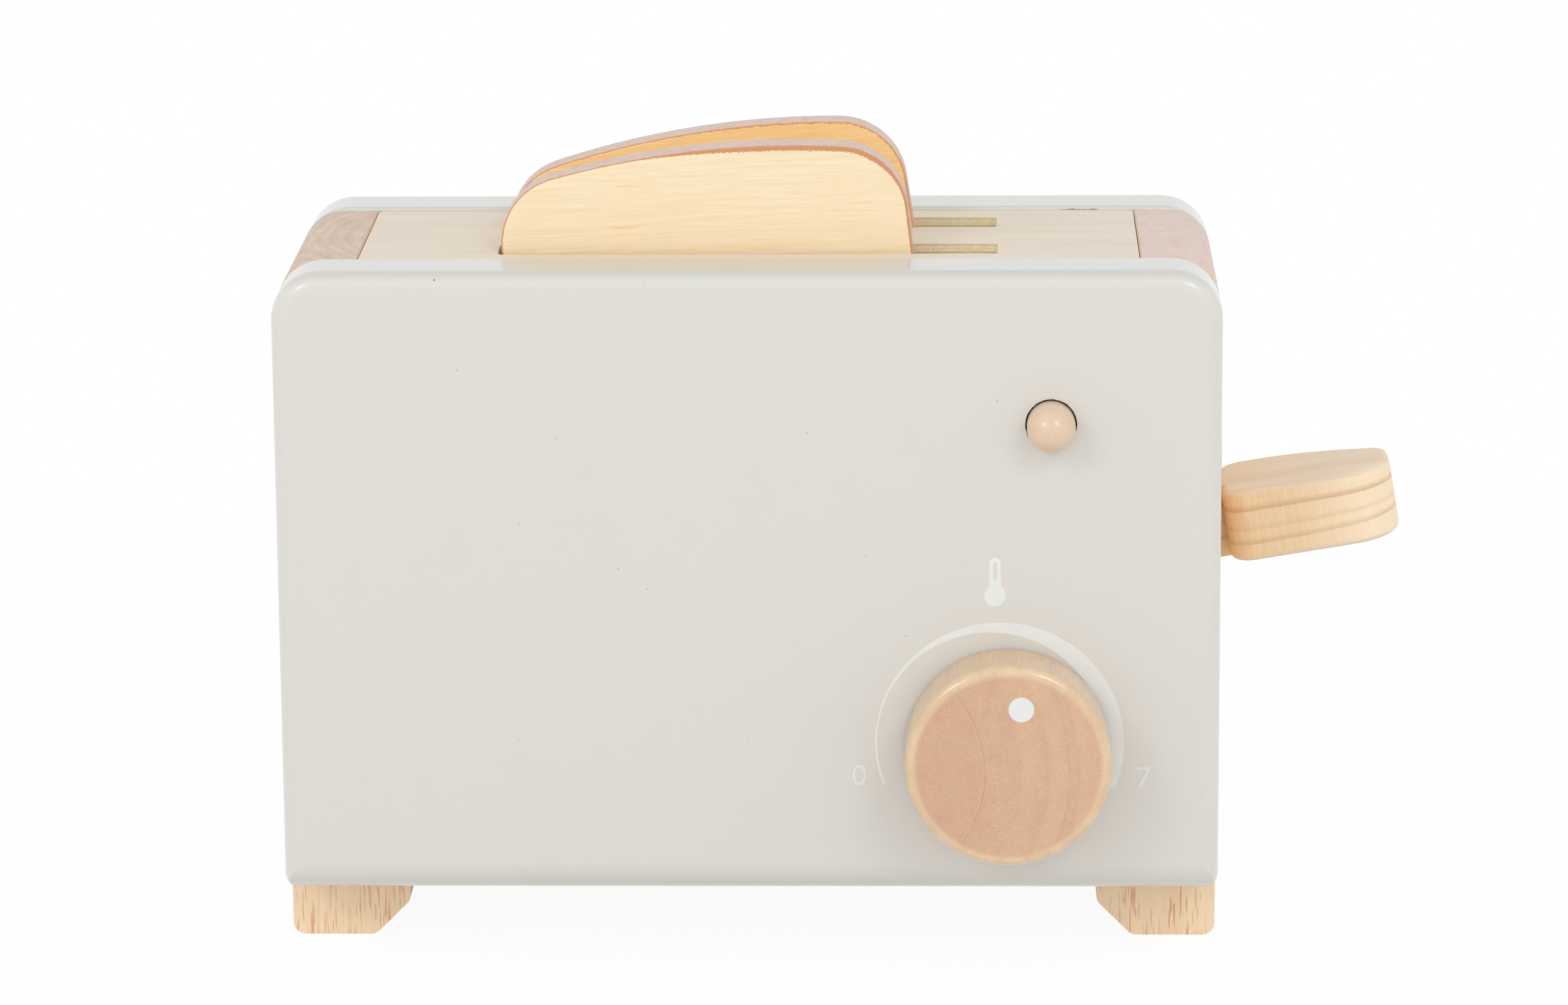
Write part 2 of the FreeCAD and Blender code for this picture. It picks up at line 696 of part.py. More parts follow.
def draw_toast(sketch):
    """Crown, two shoulders, two sides and foot, every arc tangent to its neighbours."""
    half, height = number("toast_width / 2"), number("toast_height")
    shoulder, crown = number("toast_shoulder"), number("toast_crown")
    foot_crown = number("toast_foot_crown")
    inner = crown - shoulder
    corner_x = half - shoulder
    corner_z = height - crown + math.sqrt(inner * inner - corner_x * corner_x)
    lean = math.asin(corner_x / inner)
    foot_lean = math.asin(half / foot_crown)
    foot_rise = foot_crown * (1 - math.cos(foot_lean))
    upright = FreeCAD.Vector(0, 0, 1)

    def arc(x, z, radius, start, end):
        circle = Part.Circle(FreeCAD.Vector(x, z, 0), upright, radius)
        return sketch.addGeometry(Part.ArcOfCircle(circle, start, end))

    top = arc(0, height - crown, crown, math.pi / 2 - lean, math.pi / 2 + lean)
    left = arc(-corner_x, corner_z, shoulder, math.pi / 2 + lean, math.pi)
    right = arc(corner_x, corner_z, shoulder, 0, math.pi / 2 - lean)
    foot = arc(0, foot_crown, foot_crown, 1.5 * math.pi - foot_lean, 1.5 * math.pi + foot_lean)
    left_side = sketch.addGeometry(Part.LineSegment(
        FreeCAD.Vector(-half, corner_z, 0), FreeCAD.Vector(-half, foot_rise, 0)))
    right_side = sketch.addGeometry(Part.LineSegment(
        FreeCAD.Vector(half, foot_rise, 0), FreeCAD.Vector(half, corner_z, 0)))
    for first, end, second, start in ((right, 2, top, 1), (top, 2, left, 1),
                                      (left, 2, left_side, 1), (right_side, 2, right, 1)):
        sketch.addConstraint(Sketcher.Constraint("Tangent", first, end, second, start))
    sketch.addConstraint(Sketcher.Constraint("Coincident", left_side, 2, foot, 1))
    sketch.addConstraint(Sketcher.Constraint("Coincident", foot, 2, right_side, 1))
    for line in (left_side, right_side):
        sketch.addConstraint(Sketcher.Constraint("Vertical", line))
    for geometry, radius in ((top, "toast_crown"), (left, "toast_shoulder"),
                             (right, "toast_shoulder"), (foot, "toast_foot_crown")):
        rule = Sketcher.Constraint("Radius", geometry, number(radius))
        bind(sketch, f"Constraints[{sketch.addConstraint(rule)}]", radius)
    fix_point(sketch, top, 3, "0", "toast_height - toast_crown")
    fix_point(sketch, foot, 3, "0", "toast_foot_crown")
    for line, end, side in ((left_side, 2, -1), (right_side, 1, 1)):
        expression = f"{side} * toast_width / 2"
        rule = Sketcher.Constraint("DistanceX", -1, 1, line, end, number(expression))
        bind(sketch, f"Constraints[{sketch.addConstraint(rule)}]", expression)


make_toast("front_toast", -1, "toast_front_side", "toast_front_tilt")
make_toast("back_toast", 1, "toast_back_side", "toast_back_tilt")


# Dial: knob, shaft, felt ring, collar and screw, about the axis of the bore.
# Their sketches lie across the axis, and a positive height points to the front.

def make_ring(name, x, z, from_face, size, bore, thick):
    """A disc with a hole, its front side at a distance behind the front panel's face."""
    body = new_body(name, x=x, y="-case_depth / 2", z=z)
    ring = sketch_on(body, "XZ_Plane", "ring", height=f"-({from_face})")
    draw_circle(ring, "0", "0", size)
    draw_circle(ring, "0", "0", bore)
    pad(body, ring, thick, turned=True)
    return body


dial_knob = new_body("dial_knob", x="dial_side", y="-case_depth / 2", z="dial_height")
knob_disc = sketch_on(dial_knob, "XZ_Plane", "disc", height="felt_thick")
draw_circle(knob_disc, "0", "0", "dial_size")
pad(dial_knob, knob_disc, "dial_thick")
knob_face = number("felt_thick + dial_thick")
ease(dial_knob, "front_edge", "dial_edge", lambda spot, along: near(spot.y, -knob_face))
ease(dial_knob, "back_edge", "dial_back_edge", lambda spot, along: near(
    spot.y, -number("felt_thick")))
knob_bore = sketch_on(dial_knob, "XZ_Plane", "bore", height="felt_thick")
draw_circle(knob_bore, "0", "0", "shaft_size")
pocket(dial_knob, knob_bore, "shaft_in_knob", turned=True)

SHAFT_LENGTH = "(shaft_in_knob + felt_thick + panel_thick + collar_gap)"
dial_shaft = new_body("dial_shaft", x="dial_side", y="-case_depth / 2", z="dial_height")
shaft_end = sketch_on(dial_shaft, "XZ_Plane", "end", height="felt_thick + shaft_in_knob")
draw_circle(shaft_end, "0", "0", "shaft_size")
pad(dial_shaft, shaft_end, SHAFT_LENGTH, turned=True)
pilot_holes(dial_shaft, "XZ_Plane", "screw_hole", "-panel_thick - collar_gap", [("0", "0")],
            "dial_screw_length - collar_thick")

make_ring("dial_felt", "dial_side", "dial_height", "-felt_thick + felt_gap", "felt_size",
          "shaft_size + 4 * running_gap", "felt_thick - felt_gap")

dial_collar = new_body("dial_collar", x="dial_side", y="-case_depth / 2", z="dial_height")
collar_disc = sketch_on(dial_collar, "XZ_Plane", "disc", height="-panel_thick - collar_gap")
draw_circle(collar_disc, "0", "0", "collar_size")
pad(dial_collar, collar_disc, "collar_thick", turned=True)
screw_holes(dial_collar, "XZ_Plane", "screw_hole", "-panel_thick - collar_gap - collar_thick",
            [("0", "0")])

dial_screw = keep(make_screw("dial_screw", "dial_screw_length"), "dial_screw")
dial_screw.Placement.Rotation = FreeCAD.Rotation(FreeCAD.Vector(1, 0, 0), 90)
place(dial_screw, "dial_side", "-case_depth / 2 + panel_thick + collar_gap + collar_thick",
      "dial_height")


# Button: domed peg turned in one with its tail, ring, spring and housing

button_peg = new_body("button_peg", x="button_side", y="-case_depth / 2", z="button_height")
peg_side = sketch_on(button_peg, "YZ_Plane", "side")
peg_half, tail_half = number("button_size / 2"), number("tail_size / 2")
peg_points = [
    ("-button_proud + button_size / 2", "button_size / 2"),
    ("panel_thick + ring_gap", "button_size / 2"),
    ("panel_thick + ring_gap", "tail_size / 2"),
    ("panel_thick + tail_length", "tail_size / 2"),
    ("panel_thick + tail_length", "0"),
    ("-button_proud", "0"),
]
peg_spots = [FreeCAD.Vector(number(x), number(z), 0) for x, z in peg_points]
peg_lines = [peg_side.addGeometry(Part.LineSegment(start, end))
             for start, end in zip(peg_spots, peg_spots[1:])]
dome_centre = FreeCAD.Vector(peg_spots[0].x, 0, 0)
dome_circle = Part.Circle(dome_centre, FreeCAD.Vector(0, 0, 1), peg_half)
peg_dome = peg_side.addGeometry(Part.ArcOfCircle(dome_circle, math.pi / 2, math.pi))
for first, second in zip(peg_lines, peg_lines[1:]):
    peg_side.addConstraint(Sketcher.Constraint("Coincident", first, 2, second, 1))
peg_side.addConstraint(Sketcher.Constraint("Coincident", peg_lines[-1], 2, peg_dome, 2))
peg_side.addConstraint(Sketcher.Constraint("Coincident", peg_dome, 1, peg_lines[0], 1))
for line, (x, z) in zip(peg_lines, peg_points):
    fix_point(peg_side, line, 1, x, z)
fix_point(peg_side, peg_dome, 3, "-button_proud + button_size / 2", "0")
peg_side.addConstraint(Sketcher.Constraint("PointOnObject", peg_lines[-1], 2, -1))
peg_turn = button_peg.newObject("PartDesign::Revolution", "button_peg_turn")
peg_turn.Profile = peg_side
peg_turn.ReferenceAxis = (peg_side, ["H_Axis"])
peg_turn.Angle = 360
doc.recompute()

make_ring("button_ring", "button_side", "button_height", "panel_thick + ring_gap",
          "ring_size", "tail_size", "ring_thick")

button_housing = new_body("button_housing", x="button_side", y="-case_depth / 2",
                          z="button_height")
housing_block = sketch_on(button_housing, "XZ_Plane", "block", height="-panel_thick")
draw_box(housing_block, "-housing_width / 2", "-housing_height / 2",
         "housing_width / 2", "housing_height / 2")
pad(button_housing, housing_block, "housing_depth", turned=True)
housing_bore = sketch_on(button_housing, "XZ_Plane", "bore", height="-panel_thick")
draw_circle(housing_bore, "0", "0", "housing_bore")
pocket(button_housing, housing_bore, "housing_depth - housing_floor")
screw_holes(button_housing, "XZ_Plane", "screw_holes", "-panel_thick - housing_depth",
            [("0", spread) for spread in HOUSING_SPREAD])

housing_screws = []
for index, spread in enumerate(HOUSING_SPREAD, start=1):
    screw = make_screw(f"housing_screw_{index}", "housing_screw_length")
    screw.Placement.Rotation = FreeCAD.Rotation(FreeCAD.Vector(1, 0, 0), 90)
    place(screw, "button_side", "-case_depth / 2 + panel_thick + housing_depth",
          f"button_height + {spread}")
    housing_screws.append(screw)
make_group("housing_screws", housing_screws)


def make_spring():
    """A coil between the ring and the floor of the housing's bore."""
    length = number("housing_depth - housing_floor - ring_gap - ring_thick")
    wire = number("spring_wire")
    radius = number("spring_size") / 2
    rise = length - wire - 2 * number("spring_gap")
    path = Part.makeHelix(rise / number("spring_turns"), rise, radius)
    section = Part.Wire([Part.makeCircle(
        wire / 2, FreeCAD.Vector(radius, 0, 0), FreeCAD.Vector(0, 1, 0))])
    coil = Part.Wire(path).makePipeShell([section], True, True)
    spring = doc.addObject("Part::Feature", "button_spring")
    spring.Shape = coil
    spring.Placement.Rotation = FreeCAD.Rotation(FreeCAD.Vector(1, 0, 0), -90)
    place(spring, "button_side",
          "-case_depth / 2 + panel_thick + ring_gap + ring_thick + spring_wire / 2 + spring_gap",
          "button_height")
    return keep(spring, "button_spring")


make_spring()
doc.recompute()

# Checks, then one file for each sub-part
for item in doc.Objects:
    if {"Invalid", "Error"} & set(item.State):
        raise RuntimeError(f"{item.Name} is {item.State}")
os.makedirs("parts", exist_ok=True)
whole = FreeCAD.BoundBox()
for item in parts:
    shape = item.Shape
    if shape.isNull() or not shape.isValid() or not shape.Solids:
        raise RuntimeError(f"{item.Label} has no valid solid")
    whole.add(shape.BoundBox)
    print(f"{item.Label}: {len(shape.Solids)} solid, {shape.Volume / 1000:.2f} cm3, "
          f"{len(shape.Faces)} faces")
for item in parts:
    item.Shape.exportStep(f"parts/{item.Label}.step")
print(f"{len(parts)} nodes, box x {whole.XMin:.2f} {whole.XMax:.2f}, "
      f"y {whole.YMin:.2f} {whole.YMax:.2f}, z {whole.ZMin:.2f} {whole.ZMax:.2f}")
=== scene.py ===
# %% [markdown]
# # A wooden toy toaster
#
# The toy is a painted box on two wooden ends. Two thin slices of toast stand in
# the slots of its top, and a lever at the right lifts them. A dial turns on the
# front, and a round button springs back when it is pushed.
#
# The solids come from a CAD model and keep their places. This lesson gives them
# their surfaces: satin paint, several cuts of pale wood, printed marks, and the
# light of a small studio. Each cell prints what it made.

# %% Load the solids
import math
import random

import bmesh
import bpy
from mathutils import Matrix, Vector
from mathutils.geometry import tessellate_polygon


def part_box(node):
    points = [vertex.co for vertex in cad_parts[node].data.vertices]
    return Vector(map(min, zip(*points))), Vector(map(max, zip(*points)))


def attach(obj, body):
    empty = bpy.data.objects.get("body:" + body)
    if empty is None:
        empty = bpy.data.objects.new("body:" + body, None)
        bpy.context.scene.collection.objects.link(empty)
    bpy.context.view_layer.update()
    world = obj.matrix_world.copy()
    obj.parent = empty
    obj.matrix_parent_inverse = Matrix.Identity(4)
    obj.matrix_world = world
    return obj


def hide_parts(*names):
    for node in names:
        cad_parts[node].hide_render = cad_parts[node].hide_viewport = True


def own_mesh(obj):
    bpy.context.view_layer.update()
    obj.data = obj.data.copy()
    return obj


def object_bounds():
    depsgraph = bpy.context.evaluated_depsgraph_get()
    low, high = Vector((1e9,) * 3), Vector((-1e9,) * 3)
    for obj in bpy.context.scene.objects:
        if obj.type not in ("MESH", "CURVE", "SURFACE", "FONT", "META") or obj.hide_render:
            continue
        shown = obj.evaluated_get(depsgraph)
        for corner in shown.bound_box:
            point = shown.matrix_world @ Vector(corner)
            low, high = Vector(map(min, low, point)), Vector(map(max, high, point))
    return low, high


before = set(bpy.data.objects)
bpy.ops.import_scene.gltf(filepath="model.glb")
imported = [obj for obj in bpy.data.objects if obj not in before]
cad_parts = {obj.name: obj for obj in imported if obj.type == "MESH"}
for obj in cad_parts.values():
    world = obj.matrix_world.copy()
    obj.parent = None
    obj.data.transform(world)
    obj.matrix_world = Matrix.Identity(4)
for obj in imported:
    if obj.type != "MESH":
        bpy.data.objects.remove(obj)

MM = 0.001

cad_low, cad_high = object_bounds()
print("the solids fill", [round(side / MM, 1) for side in cad_high - cad_low], "mm")

# %% [markdown]
# ## The camera
#
# Lines that are parallel on the toy run together a little in the photograph, and
# how fast they do so tells how far away the camera stood: about 1.2 metres, with
# a long lens, a touch above the toy and looking down on it. The view could be
# set with three rotation angles. Three arrows are easier to follow: one that
# points forward, one to the right and one up.

# %% Place the camera
EYE = Vector((21.09, -1203.66, 374.30)) * MM
TURN, DIP, LEAN = -0.0274, 0.2379, -0.0071
SENSOR = 36.0
PHOTO_WIDTH = 2402
FOCUS_IN_PIXELS = 9730.45
NEAREST = 0.05


def add_object(name, data):
    """Puts a new object with this mesh, lamp or camera into the scene."""
    made = bpy.data.objects.new(name, data)
    bpy.context.scene.collection.objects.link(made)
    return made


forward = Vector((math.sin(TURN) * math.cos(DIP), math.cos(TURN) * math.cos(DIP), -math.sin(DIP)))
level = Vector((math.cos(TURN), -math.sin(TURN), 0))
upward = level.cross(forward)
right = math.cos(LEAN) * level + math.sin(LEAN) * upward
up = math.cos(LEAN) * upward - math.sin(LEAN) * level

camera = add_object("camera", bpy.data.cameras.new("camera"))
camera.matrix_world = Matrix.Translation(EYE) @ Matrix((right, up, -forward)).transposed().to_4x4()
camera.data.sensor_width = SENSOR
camera.data.lens = SENSOR * FOCUS_IN_PIXELS / PHOTO_WIDTH
camera.data.clip_start = NEAREST
bpy.context.scene.camera = camera
bpy.context.scene.view_settings.view_transform = "Standard"
print("the lens is", round(camera.data.lens, 1), "mm long")

# %% [markdown]
# ## Sums that run over a surface
#
# A finish is a chain of small sums: take a noise, multiply it, add it to another.
# Wired by hand that needs dozens of Math nodes. The class below wraps one output
# of a node and teaches it +, -, * and /, so that such a chain reads like a sum on
# paper, and Python adds the nodes. The second class is the board that the nodes
# sit on, and has one method for every other kind of node.

# %% A value that changes over a surface
class Field:
    """One output of a node, ready for sums."""

    def __init__(self, board, socket):
        self.board = board
        self.socket = socket

    def sum_with(self, operation, first, second):
        return self.board.node("Math", {"operation": operation}, {0: first, 1: second})

    def __add__(self, other):
        return self.sum_with("ADD", self, other)

    def __radd__(self, other):
        return self.sum_with("ADD", other, self)

    def __sub__(self, other):
        return self.sum_with("SUBTRACT", self, other)

    def __rsub__(self, other):
        return self.sum_with("SUBTRACT", other, self)

    def __mul__(self, other):
        return self.sum_with("MULTIPLY", self, other)

    def __rmul__(self, other):
        return self.sum_with("MULTIPLY", other, self)

    def __truediv__(self, other):
        return self.sum_with("DIVIDE", self, other)

    def __rtruediv__(self, other):
        return self.sum_with("DIVIDE", other, self)

    def __pow__(self, other):
        return self.sum_with("POWER", self, other)

    def __abs__(self):
        return self.sum_with("ABSOLUTE", self, 0)

    def part(self):
        """What is left after the whole part, so that it climbs from 0 to 1 again and again."""
        return self.sum_with("FRACT", self, 0)

    def at_least(self, floor):
        """The number, or the floor where the number is lower."""
        return self.sum_with("MAXIMUM", self, floor)

    def output(self, name):
        """Another output of the same node."""
        return Field(self.board, self.socket.node.outputs[name])


print("sums on a surface are written with + - * / and **")

# %% The board that nodes sit on
class Board:
    """Nodes and the wires between them."""

    def __init__(self, tree):
        self.tree = tree
        tree.nodes.clear()

    def feed(self, socket, value):
        if isinstance(value, Field):
            self.tree.links.new(value.socket, socket)
        else:
            socket.default_value = value

    def node(self, kind, settings, sockets, output=0):
        """Adds a node: its settings first, then what goes into its sockets."""
        made = self.tree.nodes.new("ShaderNode" + kind)
        for word, value in settings.items():
            setattr(made, word, value)
        for socket, value in sockets.items():
            self.feed(made.inputs[socket], value)
        return Field(self, made.outputs[output]) if made.outputs else None

    def vector(self, operation, first, second):
        return self.node("VectorMath", {"operation": operation}, {0: first, 1: second})

    def dot(self, first, second):
        return self.node("VectorMath", {"operation": "DOT_PRODUCT"}, {0: first, 1: second}, 1)

    def gather(self, x, y, z):
        return self.node("CombineXYZ", {}, {0: x, 1: y, 2: z})

    def mix(self, first, second, share):
        """A colour between two others."""
        return self.node("Mix", {"data_type": "RGBA"}, {0: share, 6: first, 7: second}, 2)

    def step(self, value, low, high):
        """Climbs softly from 0, where value is low, to 1, where it is high."""
        return self.node("MapRange", {"interpolation_type": "SMOOTHSTEP"}, {0: value, 1: low, 2: high})

    def band(self, value, centre, half, soft):
        """1 within half of a centre, and 0 further out."""
        return 1 - self.step(abs(value - centre), half - soft / 2, half + soft / 2)

    def cloud(self, place, detail=2.0, rough=0.5):
        """A soft noise around 0.5, with lumps about 1 across."""
        sockets = {"Vector": place, "Scale": 1.0, "Detail": detail, "Roughness": rough}
        return self.node("TexNoise", {}, sockets)

    def away(self, first, second):
        """How far a point is from the line on which both values are 0."""
        return (first * first + second * second) ** 0.5


print("a board can mix, step, band and cloud")

# %% A board with a finish on it
class Finish(Board):
    """The nodes of one finish. They end in a Principled shader."""

    def __init__(self, name, steady):
        self.material = bpy.data.materials.new(name)
        self.material.use_nodes = True
        super().__init__(self.material.node_tree)
        self.shader = self.node("BsdfPrincipled", {}, steady)
        self.node("OutputMaterial", {}, {"Surface": self.shader})
        metres = self.node("TexCoord", {}, {}, "Object")
        self.place = self.vector("MULTIPLY", metres, (1 / MM, 1 / MM, 1 / MM))
        self.facing = metres.output("Normal")

    def along(self, direction, start=(0, 0, 0)):
        """How many millimetres a point lies from a start, measured in one direction."""
        return self.dot(self.vector("SUBTRACT", self.place, tuple(start)), tuple(direction))

    def lumps(self, size, detail=2.0, rough=0.5):
        """A noise with lumps of a size in millimetres, or of three sizes along X, Y and Z."""
        sizes = size if isinstance(size, tuple) else (size, size, size)
        return self.cloud(self.vector("DIVIDE", self.place, sizes), detail, rough)

    def specks(self, gap, size):
        """Round specks, scattered about so far apart. Each has a strength of its own."""
        place = self.vector("DIVIDE", self.place, (gap, gap, gap))
        near = self.node("TexVoronoi", {}, {"Vector": place, "Scale": 1.0})
        strength = self.dot(near.output("Color"), (1, 0, 0))
        return (1 - self.step(near * gap, size * 0.3, size * 0.5)) * strength * strength

    def turned_away(self, direction, low, high):
        """0 where the surface lies along a direction, 1 where it faces that way or against it."""
        return self.step(abs(self.dot(self.facing, tuple(direction))), low, high)

    def end_with(self, colour, rough, height, depth):
        """Wires the shader. Height is from 0 to 1 and depth is its size in millimetres."""
        sockets = self.shader.socket.node.inputs
        self.feed(sockets["Base Color"], colour)
        self.feed(sockets["Roughness"], rough)
        bump = self.node("Bump", {}, {"Strength": 1.0, "Distance": depth * MM, "Height": height})
        self.feed(sockets["Normal"], bump)
        return self.material


def tint(red, green, blue):
    """A colour as a picture stores it, 0 to 255, as the amounts of light that Blender uses."""
    def light(share):
        # The curve that all screens use: a short straight start, then a power.
        share = share / 255
        return share / 12.92 if share <= 0.04045 else ((share + 0.055) / 1.055) ** 2.4
    return (light(red), light(green), light(blue), 1.0)


def cover(material, *names):
    """Gives CAD nodes a finish."""
    for name in names:
        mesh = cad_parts[name].data
        mesh.materials.clear()
        mesh.materials.append(material)
    print(material.name, "on", ", ".join(names))


print("a mid grey of 128 is", round(tint(128, 128, 128)[0], 3), "of the light")

# %% [markdown]
# ## The studio
#
# The knob has a thin bright line at the upper left of its rim and another at the
# upper right, and it throws a soft shadow to each side. A lamp lies where a
# mirror on the rim would show it. The lines say that two soft lamps stood left
# and right of the camera, the right one higher and nearer to it. But the
# shadows are weak, so most of the light came from white walls all round, and the
# tops of the toy are a little darker and cooler than its front, so less of it
# came from above. The world does that here. On the grey paint, painted shade
# also darkens the faces that look up. The backdrop is pure white in the
# picture: the floor and the world say so for rays that come straight from the
# camera, off a gloss or through glass, and the light on the toy stays plain.

# %% Hang the lamps
MIDDLE = (cad_low + cad_high) / 2
LAMP_POWER = 2.6
LAMP_WIDTH, LAMP_HEIGHT = 0.45, 0.36
LEFT_PLACE = (-0.85, -1.05, 0.96)
RIGHT_PLACE = (0.68, -1.10, 1.06)


def hang_lamp(name, place):
    """A soft rectangular lamp that looks at the middle of the toy."""
    lamp = bpy.data.lights.new(name, "AREA")
    lamp.shape = "RECTANGLE"
    lamp.size, lamp.size_y = LAMP_WIDTH, LAMP_HEIGHT
    lamp.energy = LAMP_POWER
    hung = add_object(name, lamp)
    hung.location = Vector(place)
    gaze = MIDDLE - hung.location
    hung.rotation_euler = gaze.to_track_quat("-Z", "Y").to_euler()
    print(name, "is", round(gaze.length, 2), "m from the toy")


hang_lamp("lamp_left", LEFT_PLACE)
hang_lamp("lamp_right", RIGHT_PLACE)

# %% White walls and a white floor
WHITE = (1, 1, 1, 1)
WALLS_LOW = (1.32, 1.31, 1.30, 1)
WALLS_HIGH = (0.56, 0.60, 0.64, 1)
FLOOR_REACH = 6.0


def seen_straight(board):
    """1 for rays that end in the picture as background, and 0 for light that falls on the toy."""
    path = board.node("LightPath", {}, {}, "Is Camera Ray")
    return path.at_least(path.output("Is Glossy Ray")).at_least(path.output("Is Transmission Ray"))


world = bpy.data.worlds.new("white_walls")
world.use_nodes = True
bpy.context.scene.world = world
sky = Board(world.node_tree)
height = sky.dot(sky.node("TexCoord", {}, {}, "Generated"), (0, 0, 1))
walls = sky.mix(sky.mix(WALLS_LOW, WALLS_HIGH, height), WHITE, seen_straight(sky))
sky.node("OutputWorld", {}, {"Surface": sky.node("Background", {}, {"Color": walls, "Strength": 1.0})})

corners = [(x * FLOOR_REACH, y * FLOOR_REACH, 0) for x, y in ((-1, -1), (1, -1), (1, 1), (-1, 1))]
floor_mesh = bpy.data.meshes.new("floor")
floor_mesh.from_pydata(corners, [], [(0, 1, 2, 3)])
floor = add_object("floor", floor_mesh)
print("the floor reaches", FLOOR_REACH, "m each way")

# %% White paper on the floor
PAPER = (0.8, 0.8, 0.8, 1)
GLOW = 0.94
FADE_FROM, FADE_TO = 130, 420

paper_material = bpy.data.materials.new("white_paper")
paper_material.use_nodes = True
paper = Board(paper_material.node_tree)
straight = seen_straight(paper)
spot = paper.vector("MULTIPLY", paper.node("TexCoord", {}, {}, "Object"), (1 / MM, 1 / MM, 0))
distance = paper.dot(spot, spot) ** 0.5
matt = paper.node("BsdfDiffuse", {}, {"Color": paper.mix(PAPER, WHITE, straight)})
glow = paper.node("Emission", {}, {"Color": WHITE, "Strength": 1.0})
share = straight * (GLOW + (1 - GLOW) * paper.step(distance, FADE_FROM, FADE_TO))
both = paper.node("MixShader", {}, {0: share, 1: matt, 2: glow})
paper.node("OutputMaterial", {}, {"Surface": both})
floor_mesh.materials.append(paper_material)
print("the paper is pure white from", FADE_TO, "mm outwards")

# %% [markdown]
# ## What a tree leaves in a board
#
# A tree lays one ring round its heart each year: a wide pale part, then a narrow
# dark one that ends sharply. Fibres and pores run along the trunk. A saw cuts
# through all that at some angle, and so one board shows arcs on its end, stripes
# on its edge and flames on its face. A flat picture of wood can't do this. Here
# the trunk itself is described, as a direction and the place of its heart, and
# each surface shows what it cuts.

# %% Rings, fibres and pores
DRIFT_SIZE = (18.0, 70.0)
FIBRE_SIZE = (0.3, 9.0)
YEAR_LUMP = 0.7
DARKENS_FROM, DARKENS_TO = 0.25, 0.9
YEAR_ENDS = 0.93
PORES_FROM, PORES_TO = 0.78, 0.86
CUT_FROM, CUT_TO = 0.12, 0.42


class Timber:
    """Fields of a trunk that grew in one direction, for a piece cut from it."""

    def __init__(self, board, trunk, heart, ring, waver, uneven=0.8):
        axis = Vector(trunk).normalized()
        first = axis.orthogonal().normalized()
        second = axis.cross(first)
        self.board = board
        self.u = board.along(first, heart)
        self.v = board.along(second, heart)
        self.w = board.along(axis, heart)
        drift = board.cloud(self.grain(*DRIFT_SIZE), 2.0)
        self.radius = board.away(self.u, self.v) + (drift - 0.5) * waver
        years = self.radius / ring
        years = years + board.cloud(board.gather(years * YEAR_LUMP, 0.5, 0.5), 1.0) * uneven
        age = years.part()
        self.late = board.step(age, DARKENS_FROM, DARKENS_TO) * (1 - board.step(age, YEAR_ENDS, 1.0))
        self.fibre = board.cloud(self.grain(*FIBRE_SIZE), 3.0, 0.6)
        self.end = board.turned_away(axis, CUT_FROM, CUT_TO)

    def grain(self, across, along):
        """A place for noise whose lumps are so many millimetres across and along the trunk."""
        return self.board.gather(self.u / across, self.v / across, self.w / along)

    def pores(self, across, along, share):
        """Small marks along the trunk. A larger share gives more of them."""
        mark = self.board.cloud(self.grain(across, along), 1.0)
        return self.board.step(mark, PORES_FROM - share, PORES_TO - share)


print("a trunk has rings, fibres and pores")

# %% [markdown]
# ## Paint
#
# Front and back are boards under a warm light grey satin paint. Sprayed paint is
# never quite flat: it has shallow orange peel, a faint drift in its tone, and a
# few specks of dust that dried in it. Those noises differ only in size. Then come
# the marks of this very toy, each at its own place: the drill has left a ragged
# dark line round the hole of the button, which painted shade of the gap round the
# peg makes darker still, one dark speck sits near the upper left corner, the top
# of the back board is a little rubbed and has a stain, and the top of the front
# board has small nicks.
# Faces that look up are also painted a shade darker: that is painted shade.

# %% Where the marks lie
SHIFT_X, SHIFT_Y = -17.993, 7.1
FRONT = -40.0 + SHIFT_Y
BUTTON_X, BUTTON_Z = 57.6 + SHIFT_X, 105.4
BUTTON_HOLE = 9.7 / 2
PANEL_TOP = 134.7
TOP_FACE = 134.0
INNER_FACE = 25.5
SPECK = (-58.7 + SHIFT_X, FRONT + 0.6, 133.36)
STAIN_X = 64.2 + SHIFT_X
NICKS_X, NICKS_Y = 53.8 + SHIFT_X, -28.5
print("the front lies at y =", FRONT, "mm and the button's hole is", 2 * BUTTON_HOLE, "mm wide")

# %% Colours of the paint
PAINT, PAINT_WARM, PAINT_DULL = tint(219, 216, 208), tint(222, 217, 208), tint(216, 213, 206)
# The darker grey below is painted shade for faces that look up, not a colour of the paint.
PAINT_SHADE_ABOVE = tint(199, 198, 192)
# The dark ring round the button's hole is partly burnt edge and partly painted shade of the gap round
# the peg.
DUST, DARK_SPECK, CHARRED_AND_SHADED = tint(140, 128, 116), tint(78, 74, 68), tint(46, 37, 32)
RUBBED, NICKED, STAINED = tint(196, 196, 193), tint(150, 148, 144), tint(150, 132, 120)
print("the paint gives back", [round(part, 2) for part in PAINT[:3]], "of red, green and blue")


# %% Wear along the top, and painted shade on faces that look up
WEAR_FROM, WEAR_FULL = 1.5, 0.5


